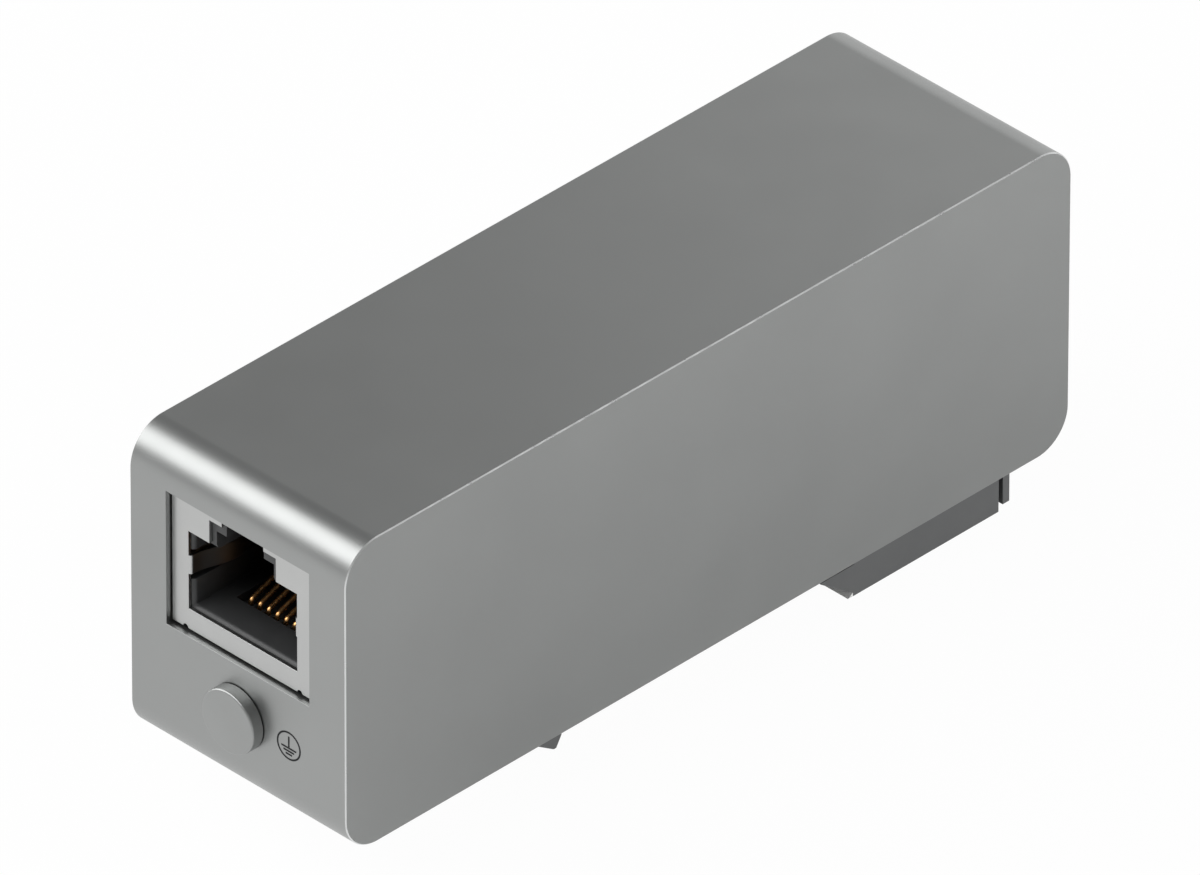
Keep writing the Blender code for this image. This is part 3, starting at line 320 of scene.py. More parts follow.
class StageSettings(PropertyGroup):
    lens: length("Focal length", "Focal length of the camera", 1.0)
    distance: length("Distance", "From the camera to the point that it is set up on", 2.6984)
    azimuth: angle("Azimuth", "How far the camera stands round from the front", math.radians(44.854))
    elevation: angle("Elevation", "How far the camera looks down", math.radians(34.976))
    roll: angle("Roll", "How far the camera is turned about its own axis", math.radians(0.126))
    across: offset("Across", "How far the view is moved right", -0.23 * MM)
    rise: offset("Rise", "How far the view is moved up", 12.033 * MM)
    floor_radius: length("Floor radius", "How far the floor reaches", 6.0)
    floor_color: color("Floor colour", "Pale floor", (0.86, 0.86, 0.86))
    floor_seen: share("White seen", "Share of plain white in the floor that the camera sees", 0.97)
    mirrored_left: share("White at the left", "Share of plain white in the floor that gloss mirrors", 0.78)
    mirrored_right: share("White at the right", "The same beyond the right side of the case", 0.05)
    mirrored_reach: length("Reach of the white", "From that side to where the second share holds", 6 * MM)
    key_place: place_of("Key place", "Spot of the key lamp", (-0.347, -0.310, 0.379))
    key_width: length("Key width", "Level side of the key lamp", 1.5)
    key_height: length("Key height", "Steep side of the key lamp", 0.42)
    key_power: power("Key power", "Strength of the key lamp", 5.5)
    side_place: place_of("Side place", "Spot of the lamp at the right", (0.45, 0.25, 0.11))
    side_size: length("Side size", "Sides of the lamp at the right", 0.25)
    side_power: power("Side power", "Strength of the lamp at the right", 1.25)
    rear_place: place_of("Rear place", "Spot of the lamp behind at the left", (-0.09, 0.161, 0.102))
    rear_size: length("Rear size", "Sides of the lamp behind at the left", 0.1)
    rear_power: power("Rear power", "Strength of the lamp behind at the left", 0.0135)
    sky_front: share("Sky in front", "Brightness of the horizon in front", 0.40)
    sky_rear: share("Sky behind", "Brightness of the horizon behind", 0.95)
    sky_overhead: share("Sky overhead", "Brightness overhead", 0.25)


class ProtectorSettings(PropertyGroup):
    case: PointerProperty(type=CaseSettings)
    socket: PointerProperty(type=SocketSettings)
    moulding: PointerProperty(type=MouldingSettings)
    contact: PointerProperty(type=ContactSettings)
    knob: PointerProperty(type=KnobSettings)
    mark: PointerProperty(type=MarkSettings)
    clip: PointerProperty(type=ClipSettings)
    spring: PointerProperty(type=SpringSettings)
    board: PointerProperty(type=BoardSettings)
    stage: PointerProperty(type=StageSettings)


def from_bmesh(name, shape):
    """A new object in the scene from a finished bmesh."""
    bmesh.ops.recalc_face_normals(shape, faces=shape.faces)
    mesh = bpy.data.meshes.new(name)
    shape.to_mesh(mesh)
    shape.free()
    obj = bpy.data.objects.new(name, mesh)
    bpy.context.scene.collection.objects.link(obj)
    return obj


def bake(obj):
    """Applies the object's modifiers."""
    graph = bpy.context.evaluated_depsgraph_get()
    mesh = bpy.data.meshes.new_from_object(obj.evaluated_get(graph))
    mesh.name = obj.name
    obj.modifiers.clear()
    obj.data = mesh
    return obj


def combine(target, tools, operation):
    """Joins the tools to the target, or cuts them out of it, and removes them."""
    for tool in tools:
        modifier = target.modifiers.new(tool.name, "BOOLEAN")
        modifier.operation = operation
        modifier.object = tool
    bake(target)
    for tool in tools:
        bpy.data.objects.remove(tool)


def cut(target, *tools):
    combine(target, tools, "DIFFERENCE")


def join(target, *tools):
    combine(target, tools, "UNION")


def move(matrix, *objects):
    """Moves the objects' own meshes."""
    for obj in objects:
        obj.data.transform(matrix)
    return objects


def prism(name, outline, start, end, view=PLAN, rim=0.0, rim_steps=1, rim_material=0):
    """A flat outline drawn out from start to end, with its rims bevelled."""
    shape = bmesh.new()
    corners = [shape.verts.new(view @ Vector((across, up, start))) for across, up in outline]
    face = shape.faces.new(corners)
    drawn = bmesh.ops.extrude_face_region(shape, geom=[face])["geom"]
    moved = [part for part in drawn if isinstance(part, bmesh.types.BMVert)]
    bmesh.ops.translate(shape, vec=view @ Vector((0, 0, end - start)), verts=moved)
    if rim:
        ends = [part for part in drawn if isinstance(part, bmesh.types.BMFace)] + [face]
        bmesh.ops.bevel(
            shape,
            geom=[edge for cap in ends for edge in cap.edges],
            offset=rim,
            segments=rim_steps,
            profile=0.5,
            affect="EDGES",
            material=rim_material,
        )
    return from_bmesh(name, shape)


def rectangle(left, low, right, high):
    return [(left, low), (right, low), (right, high), (left, high)]


def block(name, low, high):
    return prism(name, rectangle(*low[:2], *high[:2]), low[2], high[2])


def turned(name, profile, sides):
    """A closed profile of (radius, height) points, from axis to axis, turned about Z."""
    shape = bmesh.new()
    verts = [shape.verts.new((radius, 0, height)) for radius, height in profile]
    edges = [shape.edges.new(pair) for pair in zip(verts, verts[1:])]
    bmesh.ops.spin(
        shape, geom=verts + edges, axis=(0, 0, 1), angle=2 * math.pi, steps=sides, use_merge=True
    )
    bmesh.ops.remove_doubles(shape, verts=shape.verts, dist=WELD)
    return from_bmesh(name, shape)


def upright(radius, low, high, sides=BAR_SIDES):
    """A round bar along Z."""
    middle = (Vector(low) + Vector(high)) / 2
    shape = bmesh.new()
    bmesh.ops.create_cone(
        shape, cap_ends=True, segments=sides, radius1=radius, radius2=radius, depth=high[2] - low[2]
    )
    bmesh.ops.translate(shape, vec=middle, verts=shape.verts)
    return from_bmesh("bar", shape)


def round_wire(name, path, radius):
    """A round wire along the points of a path."""
    curve = bpy.data.curves.new(name, "CURVE")
    curve.dimensions = "3D"
    curve.bevel_depth = radius
    curve.bevel_resolution = 4
    curve.use_fill_caps = True
    spline = curve.splines.new("POLY")
    spline.points.add(len(path) - 1)
    for point, spot in zip(spline.points, path):
        point.co = (*spot, 1)
    guide = bpy.data.objects.new(name, curve)
    bpy.context.scene.collection.objects.link(guide)
    mesh = bpy.data.meshes.new_from_object(guide.evaluated_get(bpy.context.evaluated_depsgraph_get()))
    bpy.data.objects.remove(guide)
    shape = bmesh.new()
    shape.from_mesh(mesh)
    bmesh.ops.remove_doubles(shape, verts=shape.verts, dist=WELD)
    return from_bmesh(name, shape)


def arc(middle, radius, start, end, steps):
    """Points along an arc, in degrees."""
    angles = [math.radians(start + (end - start) * step / steps) for step in range(steps + 1)]
    return [(middle[0] + radius * math.cos(a), middle[1] + radius * math.sin(a)) for a in angles]


def swing(start, end):
    """Points after start, up to end, which leave and arrive along the second coordinate."""
    points = []
    for step in range(1, SWING_STEPS + 1):
        across = (1 - math.cos(math.pi * step / SWING_STEPS)) / 2
        along = step / SWING_STEPS
        points.append((start[0] + (end[0] - start[0]) * across, start[1] + (end[1] - start[1]) * along))
    return points


def rounded_rectangle(low, high, radius, steps):
    """The outline between two corners, with an arc at each of its own."""
    points = []
    for quarter, (x, y) in enumerate(((1, 1), (0, 1), (0, 0), (1, 0))):
        middle = (
            high[0] - radius if x else low[0] + radius,
            high[1] - radius if y else low[1] + radius,
        )
        points += arc(middle, radius, quarter * 90, quarter * 90 + 90, steps)
    return points


def round_edges(obj, radius):
    bevel = obj.modifiers.new("edge rounding", "BEVEL")
    bevel.width = radius
    bevel.segments = 2
    bevel.limit_method = "ANGLE"
    bevel.angle_limit = SHARP_ANGLE


def shade(obj, edge=0.0):
    """Rounds the sharp edges, and smooths the rest while flats stay flat."""
    if edge:
        round_edges(obj, edge)
        bake(obj)
    shape = bmesh.new()
    shape.from_mesh(obj.data)
    bmesh.ops.dissolve_degenerate(shape, dist=WELD, edges=shape.edges)
    for face in shape.faces:
        face.smooth = True
    for line in shape.edges:
        line.smooth = len(line.link_faces) == 2 and line.calc_face_angle() < SHARP_ANGLE
    shape.to_mesh(obj.data)
    shape.free()
    obj.data.validate()
    obj.modifiers.new("normals", "WEIGHTED_NORMAL").keep_sharp = True
    return obj


def dress(node, material, edge):
    """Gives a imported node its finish, and rounds its edges without changing its mesh."""
    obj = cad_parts[node]
    obj.data.materials.clear()
    obj.data.materials.append(material)
    obj.modifiers.new("one skin", "WELD").merge_threshold = WELD
    flats = obj.modifiers.new("flats", "DECIMATE")
    flats.decimate_type = "DISSOLVE"
    flats.angle_limit = math.radians(1)
    round_edges(obj, edge)
    obj.modifiers.new("smooth by angle", "NODES").node_group = smooth_by_angle()
    obj.modifiers.new("normals", "WEIGHTED_NORMAL").keep_sharp = True


def smooth_by_angle():
    """A modifier group that shades a mesh smooth, apart from the edges that turn by more than the angle."""
    name = "smooth by angle"
    if name in bpy.data.node_groups:
        return bpy.data.node_groups[name]
    group = bpy.data.node_groups.new(name, "GeometryNodeTree")
    for way in ("INPUT", "OUTPUT"):
        group.interface.new_socket("Geometry", in_out=way, socket_type="NodeSocketGeometry")
    nodes = group.nodes
    start = nodes.new("NodeGroupInput")
    faces = nodes.new("GeometryNodeSetShadeSmooth")
    edges = nodes.new("GeometryNodeSetShadeSmooth")
    edges.domain = "EDGE"
    edges.inputs["Shade Smooth"].default_value = False
    turn = nodes.new("GeometryNodeInputMeshEdgeAngle")
    sharp = nodes.new("FunctionNodeCompare")
    sharp.inputs["B"].default_value = SHARP_ANGLE
    end = nodes.new("NodeGroupOutput")
    for source, target in (
        (start.outputs[0], faces.inputs["Geometry"]),
        (faces.outputs[0], edges.inputs["Geometry"]),
        (turn.outputs["Unsigned Angle"], sharp.inputs["A"]),
        (sharp.outputs[0], edges.inputs["Selection"]),
        (edges.outputs[0], end.inputs[0]),
    ):
        group.links.new(source, target)
    return group


def place(obj, body, slot, node):
    """Fixes a finished piece to its body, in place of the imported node."""
    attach(obj, body)
    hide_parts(node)


class Nodes:
    """A node tree, and what the finishes and the sky put into theirs."""

    def __init__(self, tree):
        self.tree = tree

    def node(self, kind, **values):
        made = self.tree.nodes.new(kind)
        for name, value in values.items():
            setattr(made, name, value)
        return made

    def link(self, source, target):
        self.tree.links.new(source, target)

    def feed(self, value, socket):
        """Sets the socket to a number, or links another node's output to it."""
        if isinstance(value, (int, float)):
            socket.default_value = value
        else:
            self.link(value, socket)

    def math(self, operation, *values):
        made = self.node("ShaderNodeMath", operation=operation)
        for value, socket in zip(values, made.inputs):
            self.feed(value, socket)
        return made.outputs[0]

    def ramp(self, value, ends, low, high, kind="LINEAR"):
        """Goes from low to high as the value goes from one end to the other."""
        made = self.node("ShaderNodeMapRange", interpolation_type=kind)
        self.link(value, made.inputs["Value"])
        for name, number in zip(("From Min", "From Max", "To Min", "To Max"), (*ends, low, high)):
            self.feed(number, made.inputs[name])
        return made.outputs["Result"]

    def part(self, vector, axis):
        parts = self.node("ShaderNodeSeparateXYZ")
        self.link(vector, parts.inputs[0])
        return parts.outputs[axis]

    def mix_shaders(self, share, first, second):
        mixed = self.node("ShaderNodeMixShader")
        for source, socket in zip((share, first, second), mixed.inputs):
            self.link(source, socket)
        return mixed.outputs[0]


class Finish(Nodes):
    """A procedural material: one shader, with noise that varies its colour, roughness and relief."""

    def __init__(self, name, color, metallic, roughness):
        self.material = bpy.data.materials.new(name)
        self.material.use_nodes = True
        super().__init__(self.material.node_tree)
        self.shader = self.tree.nodes["Principled BSDF"]
        self.color = color
        self.roughness = roughness
        self.shader.inputs["Base Color"].default_value = (*color, 1)
        self.shader.inputs["Metallic"].default_value = metallic
        self.shader.inputs["Roughness"].default_value = roughness
        self.place = self.node("ShaderNodeTexCoord").outputs["Object"]

    def noise(self, width, detail=2.0, stretch=(1, 1, 1)):
        """Noise whose blotches are about that wide, in metres."""
        scaled = self.node("ShaderNodeMapping")
        scaled.inputs["Scale"].default_value = stretch
        texture = self.node("ShaderNodeTexNoise")
        texture.inputs["Scale"].default_value = 1 / width
        texture.inputs["Detail"].default_value = detail
        self.link(self.place, scaled.inputs["Vector"])
        self.link(scaled.outputs["Vector"], texture.inputs["Vector"])
        return texture.outputs["Fac"]

    def blotches(self, width, middle, amount):
        """A value that goes up and down from the middle by that much."""
        return self.ramp(self.noise(width), NOISE_RANGE, middle - amount, middle + amount)

    def tint(self, width, amount):
        """Makes the colour that share darker and lighter, in blotches of that width."""
        return self.darken(self.blotches(width, 1, amount))

    def dull(self, width, amount):
        """Makes the roughness go up and down by that much, in blotches of that width."""
        self.link(self.blotches(width, self.roughness, amount), self.shader.inputs["Roughness"])
        return self

    def relief(self, width, depth, strength, **kind):
        """Raises the surface in grains of that width."""
        bump = self.node("ShaderNodeBump")
        bump.inputs["Distance"].default_value = depth
        bump.inputs["Strength"].default_value = strength
        self.link(self.noise(width, **kind), bump.inputs["Height"])
        self.link(bump.outputs["Normal"], self.shader.inputs["Normal"])
        return self

    def darken(self, factor):
        """Multiplies the colour by the factor."""
        scaled = self.node("ShaderNodeVectorMath", operation="SCALE")
        socket = self.shader.inputs["Base Color"]
        if socket.links:
            self.link(socket.links[0].from_socket, scaled.inputs[0])
        else:
            scaled.inputs[0].default_value = self.color
        self.link(factor, scaled.inputs["Scale"])
        self.link(scaled.outputs["Vector"], socket)
        return self

    def distance(self, axis, middle):
        """How far the surface is from the middle along the axis."""
        return self.math("ABSOLUTE", self.math("SUBTRACT", self.part(self.place, axis), middle))

    def along(self, axis, middle, near, far):
        """One where the surface is between near and far from the middle along the axis, and else zero."""
        distance = self.distance(axis, middle)
        inside = self.math("LESS_THAN", distance, far)
        return self.math("MULTIPLY", self.math("GREATER_THAN", distance, near), inside)

    def paint_shade_inwards(self, depth, darkest):
        """Paints shade: makes the colour darker from both ends of the case inwards, down to darkest at that
        depth.
        """
        mouth = REAR_SHIELD_Y - MIDDLE_Y
        away = self.distance("Y", MIDDLE_Y)
        return self.darken(self.ramp(away, (mouth - depth, mouth), darkest, 1, "SMOOTHSTEP"))

    def recolour(self, mask, color):
        """Its own colour where the mask is one."""
        mixed = self.node("ShaderNodeMix", data_type="RGBA")
        mixed.inputs["B"].default_value = (*color, 1)
        socket = self.shader.inputs["Base Color"]
        self.link(mask, mixed.inputs["Factor"])
        self.link(socket.links[0].from_socket, mixed.inputs["A"])
        self.link(mixed.outputs["Result"], socket)
        return self

    def plate(self, mask, color, roughness):
        """Metal of its own colour where the mask is one."""
        self.recolour(mask, color)
        for name, value in (("Metallic", 1.0), ("Roughness", roughness)):
            socket = self.shader.inputs[name]
            start = socket.links[0].from_socket if socket.links else socket.default_value
            change = self.math("MULTIPLY", mask, self.math("SUBTRACT", value, start))
            self.link(self.math("ADD", start, change), socket)
        return self


def reuse(make):
    """Keeps the material that the function makes, so that all the pieces of one finish share it."""
    made = {}

    def finish(settings):
        if make.__name__ not in made:
            made[make.__name__] = make(settings).material
        return made[make.__name__]

    return finish


@reuse
def blasted_metal(settings):
    case = settings.case
    finish = Finish("Anodised blasted metal", case.color, 1.0, case.roughness)
    return finish.tint(14 * MM, 0.02).dull(6 * MM, 0.02).relief(case.grain, 0.004 * MM, 0.6, detail=3)


@reuse
# Cut chamfers: bare metal, made brighter still as a painted highlight along the edges
def cut_metal_and_highlight(settings):
    finish = Finish("Bright cut metal", settings.case.cut_highlight_color, 1.0, 0.3)
    return finish.dull(1.5 * MM, 0.04).relief(0.1 * MM, 0.001 * MM, 0.4)


@reuse
def turned_metal(settings):
    finish = Finish("Anodised turned metal", settings.case.color, 1.0, settings.case.roughness)
    return finish.tint(3 * MM, 0.015).relief(0.1 * MM, 0.003 * MM, 0.5, detail=3)


@reuse
def plated_sheet(settings):
    finish = Finish("Nickel-plated sheet", settings.socket.color, 1.0, 0.32)
    finish.tint(5 * MM, 0.015).dull(1.5 * MM, 0.02)
    return finish.relief(0.3 * MM, 0.001 * MM, 0.3, stretch=(4, 1, 1))


@reuse
def shaded_sprung_strip(settings):
    """The same sheet, coloured darker as painted shade where it is bent inwards into the socket."""
    finish = Finish("Smooth sprung strip", settings.socket.strip_color, 1.0, 0.34)
    finish.tint(3 * MM, 0.03).dull(1.0 * MM, 0.02)
    return finish.relief(0.4 * MM, 0.001 * MM, 0.3, stretch=(1, 1, 4))


@reuse
def black_plastic(settings):
    """Black plastic with painted shade, darker and darker from the mouth of the socket inwards, where less
    light reaches.
    """
    moulding = settings.moulding
    finish = Finish("Moulded black plastic", moulding.color, 0.0, 0.45)
    # Painted shade: the colour darkens from the socket's mouth inwards
    finish.tint(3 * MM, 0.08).paint_shade_inwards(moulding.lit_depth, moulding.darkest)
    return finish.dull(0.8 * MM, 0.05).relief(0.08 * MM, 0.004 * MM, 0.5)


@reuse
def grey_plastic(settings):
    """Grey plastic, with a painted highlight on the slope of the latch's toe."""
    clip = settings.clip
    finish = Finish("Moulded grey plastic", clip.color, 0.0, clip.roughness)
    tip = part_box("rail_latch")[0]
    slope = finish.along("Y", tip.y + clip.toe_end / 2, 0, clip.toe_end / 2)
    low = finish.along("Z", tip.z, 0, clip.toe_height)
    # The toe's slope gets the painted highlight colour
    finish.tint(5 * MM, 0.04).recolour(finish.math("MULTIPLY", slope, low), clip.toe_highlight_color)
    return finish.dull(1.5 * MM, 0.05).relief(0.4 * MM, 0.004 * MM, 0.3)


@reuse
def gold_plating(settings):
    finish = Finish("Gold-plated wire", settings.contact.color, 1.0, 0.3)
    return finish.tint(0.8 * MM, 0.08).dull(0.3 * MM, 0.05)


@reuse
def zinc_steel(settings):
    finish = Finish("Zinc-plated steel", settings.board.screw_color, 1.0, 0.35)
    return finish.tint(1.2 * MM, 0.06).dull(0.4 * MM, 0.08).relief(0.06 * MM, 0.002 * MM, 0.5)


@reuse
def spring_steel(settings):
    finish = Finish("Drawn spring steel", settings.spring.color, 1.0, 0.32)
    return finish.tint(0.6 * MM, 0.1).relief(0.1 * MM, 0.002 * MM, 0.5, stretch=(1, 0.2, 1))


@reuse
def tinned_sheet(settings):
    finish = Finish("Tinned sheet", settings.board.bracket_color, 1.0, 0.38)
    return finish.tint(2.5 * MM, 0.06).relief(0.3 * MM, 0.003 * MM, 0.5)


@reuse
def solder_mask(settings):
    """Green lacquer over a weave of glass cloth."""
    finish = Finish("Solder mask", settings.board.color, 0.0, 0.3)
    return finish.tint(6 * MM, 0.15).relief(0.4 * MM, 0.01 * MM, 0.6, stretch=(1, 0.1, 1))


def across(node):
    """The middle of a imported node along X, and how far its sides are from there."""
    low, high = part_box(node)
    return (low.x + high.x) / 2, (high.x - low.x) / 2


@reuse
def banded_ceramic(settings):
    """Glazed ceramic between metal end caps, with a metal ring round the middle."""
    board = settings.board
    middle, reach = across("gas_tube_1")
    finish = Finish("Glazed ceramic with metal bands", board.ceramic_color, 0.0, 0.25)
    finish.tint(1.5 * MM, 0.04).relief(0.5 * MM, 0.004 * MM, 0.5)
    for near, far in ((reach - board.band + WELD, reach + GAP), (-GAP, board.waist / 2)):
        finish.plate(finish.along("X", middle, near, far), board.band_color, 0.35)
    return finish


@reuse
def tinned_array(settings):
    """Moulded black epoxy with tinned legs at both sides."""
    board = settings.board
    middle, reach = across("tvs_array_1")
    finish = Finish("Black epoxy with tinned legs", board.epoxy_color, 0.0, 0.5)
    finish.tint(2 * MM, 0.08).relief(0.1 * MM, 0.004 * MM, 0.5)
    return finish.plate(finish.along("X", middle, reach - board.leg, reach + GAP), board.leg_color, 0.35)


@reuse
def printed_ink(settings):
    finish = Finish("Printed ink", settings.mark.color, 0.0, 0.6)
    finish.shader.inputs["Specular IOR Level"].default_value = 0.2
    return finish.tint(0.3 * MM, 0.15)


def keyed_opening(socket, inset):
    """The outline of a socket with a keyway and a notch above it, drawn in by inset."""
    sides = [
        (socket.catch_half_width - inset, socket.catch_top - inset),
        (socket.catch_half_width - inset, socket.keyway_top - inset),
        (socket.keyway_half_width - inset, socket.keyway_top - inset),
        (socket.keyway_half_width - inset, socket.top - inset),
        (socket.half_width - inset, socket.top - inset),
        (socket.half_width - inset, inset - socket.floor),
    ]
    return sides + [(-x, z) for x, z in reversed(sides)]


def flared_hole(name, half, flare, start, end):
    """A square hole along Y about the middle, whose mouth at Y = 0 is chamfered by flare."""
    mouth, hole = (
        rectangle(-half.x - wider, -half.z - wider, half.x + wider, half.z + wider) for wider in (flare, 0)
    )
    return lofted(name, [(start, mouth), (0, mouth), (flare, hole), (end, hole)])


def lofted(name, sections):
    """A skin over outlines across X and Z, each at its own Y."""
    shape = bmesh.new()
    rows = [[shape.verts.new((x, y, z)) for x, z in outline] for y, outline in sections]
    for near, far in zip(rows, rows[1:]):
        for a, b, c, d in zip(near, near[1:] + near[:1], far[1:] + far[:1], far):
            shape.faces.new((a, b, c, d))
    shape.faces.new(rows[0])
    shape.faces.new(rows[-1])
    return from_bmesh(name, shape)


class PieceOperator:
    bl_options = {"REGISTER", "UNDO"}

    def execute(self, context):
        self.build(context.scene.surge_protector)
        return {"FINISHED"}


class OBJECT_OT_surge_case(PieceOperator, Operator):
    """Builds the metal case: a rounded tube with bright cut side edges, and holes for what it holds"""

    bl_idname = "object.surge_case"
    bl_label = "Case"

    def build(self, settings):
        case = settings.case
        body = self.tube(case)
        body.data.materials.append(blasted_metal(settings))
        body.data.materials.append(cut_metal_and_highlight(settings))
        cover_low, cover_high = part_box("bottom_cover")
        room = Vector((GAP, GAP, 0))
        rebate_low, rebate_high = cover_low - room, cover_high + room
        ledge = Vector((case.ledge, case.ledge, 0))
        mouth = self.well("mouth", rebate_low + ledge, rebate_high - ledge, case, case.floor + OVERRUN)
        cut(body, self.hollow(case), mouth)
        spots = [(low + high).xy / 2 for low, high in map(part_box, SCREWS["cover"])]
        low_z, high_z = BASE_Z + case.rebate - GAP, BOARD_LOW.z - case.pillar_drop
        join(body, *(upright(case.pillar_radius, (*spot, low_z), (*spot, high_z)) for spot in spots))
        bore_z = BASE_Z + case.bore_depth
        bores = [upright(case.bore_radius, (*spot, BASE_Z), (*spot, bore_z)) for spot in spots]
        rebate = self.well("rebate", rebate_low, rebate_high, case, case.rebate)
        cut(body, rebate, *bores, *self.holes(case, settings.knob))
        shade(body)
        place(body, "case", "housing", "housing")

    def tube(self, case):
        outline = rounded_rectangle((FRONT_Y, BASE_Z), (REAR_Y, TOP_Z), case.corner_radius, case.corner_steps)
        return prism(
            "case_shell", outline, CASE_LOW.x, CASE_HIGH.x, SIDE_VIEW, rim=case.edge_cut, rim_material=1
        )

    def hollow(self, case):
        low = (FRONT_Y + case.wall, BASE_Z + case.floor)
        high = (REAR_Y - case.wall, TOP_Z - case.wall)
        outline = rounded_rectangle(low, high, case.corner_radius - case.wall, HOLLOW_STEPS)
        return prism("hollow", outline, CASE_LOW.x + case.wall, CASE_HIGH.x - case.wall, SIDE_VIEW)

    def well(self, name, low, high, case, depth):
        """A rounded well in the underside."""
        outline = rounded_rectangle(low.xy, high.xy, case.rebate_corner, WELL_STEPS)
        return prism(name, outline, BASE_Z - OVERRUN, BASE_Z + depth)

    def holes(self, case, knob):
        """The square holes of the sockets and the round one of the ground screw."""
        holes = []
        half = Vector((SHIELD_WIDTH / 2 + GAP, 0, SHIELD_HEIGHT / 2 + GAP))
        reach = case.wall + OVERRUN
        for end, face in SOCKETS.items():
            depth = abs(face.translation.y - (FRONT_Y if end == "front" else REAR_Y))
            hole = flared_hole(f"{end}_hole", half, case.hole_cut, -OVERRUN, reach)
            holes += move(face @ Matrix.Translation((0, -depth, 0)), hole)
        holes += move(KNOB_AXIS, upright(knob.shank_radius + GAP, (0, 0, -reach), (0, 0, reach)))
        return holes


class OBJECT_OT_surge_cover(PieceOperator, Operator):
    """Finishes the bottom cover"""

    bl_idname = "object.surge_cover"
    bl_label = "Bottom cover"

    def build(self, settings):
        dress("bottom_cover", blasted_metal(settings), settings.case.edge_cut)


class OBJECT_OT_surge_knob(PieceOperator, Operator):
    """Builds the ground screw, whose low round head is turned by hand"""

    bl_idname = "object.surge_knob"
    bl_label = "Ground screw"

    def build(self, settings):
        knob = settings.knob
        shank, seat = knob.shank_radius, knob.seat
        tip = FRONT_Y - KNOB_HIGH.y
        rim = KNOB_RADIUS - knob.chamfer
        profile = [(0, knob.reach)]
        profile += arc((rim, knob.reach - knob.chamfer), knob.chamfer, 90, 0, RIM_STEPS)
        profile += [(KNOB_RADIUS, seat), (shank, seat), (shank, tip + shank / 2), (shank / 2, tip), (0, tip)]
        screw = turned("ground_knob", profile, knob.sides)
        move(KNOB_AXIS, screw)
        screw.data.materials.append(turned_metal(settings))
        shade(screw)
        place(screw, "ground_screw", "ground_screw", "ground_screw")


class OBJECT_OT_surge_earth_mark(PieceOperator, Operator):
    """Prints the general earth sign beside the ground screw: a ring around a stem on three bars"""

    bl_idname = "object.surge_earth_mark"
    bl_label = "Earth mark"

    def build(self, settings):
        mark = settings.mark
        ring = self.disc("earth_mark", mark.radius, 0, mark.ink)
        cut(ring, self.disc("ring_hole", mark.radius - mark.line, -mark.ink, 2 * mark.ink))
        half = mark.line / 2
        strokes = [self.stroke("stem", half, -mark.drop, mark.stem, mark.ink)]
        for index in range(mark.bars):
            middle = -mark.drop - index * mark.step
            reach = (mark.bar - index * mark.taper) / 2
            strokes.append(self.stroke(f"bar_{index + 1}", reach, middle - half, middle + half, mark.ink))
        join(ring, *strokes)
        move(Matrix.Translation((mark.place, FRONT_Y, KNOB_Z)), ring)
        ring.data.materials.append(printed_ink(settings))
        shade(ring)
        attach(ring, "case")

    def disc(self, name, radius, start, end):
        return prism(name, arc((0, 0), radius, 0, 360, RING_SIDES)[:-1], start, end, FRONT_VIEW)

    def stroke(self, name, reach, low, high, ink):
        return prism(name, rectangle(-reach, low, reach, high), 0, ink, FRONT_VIEW)


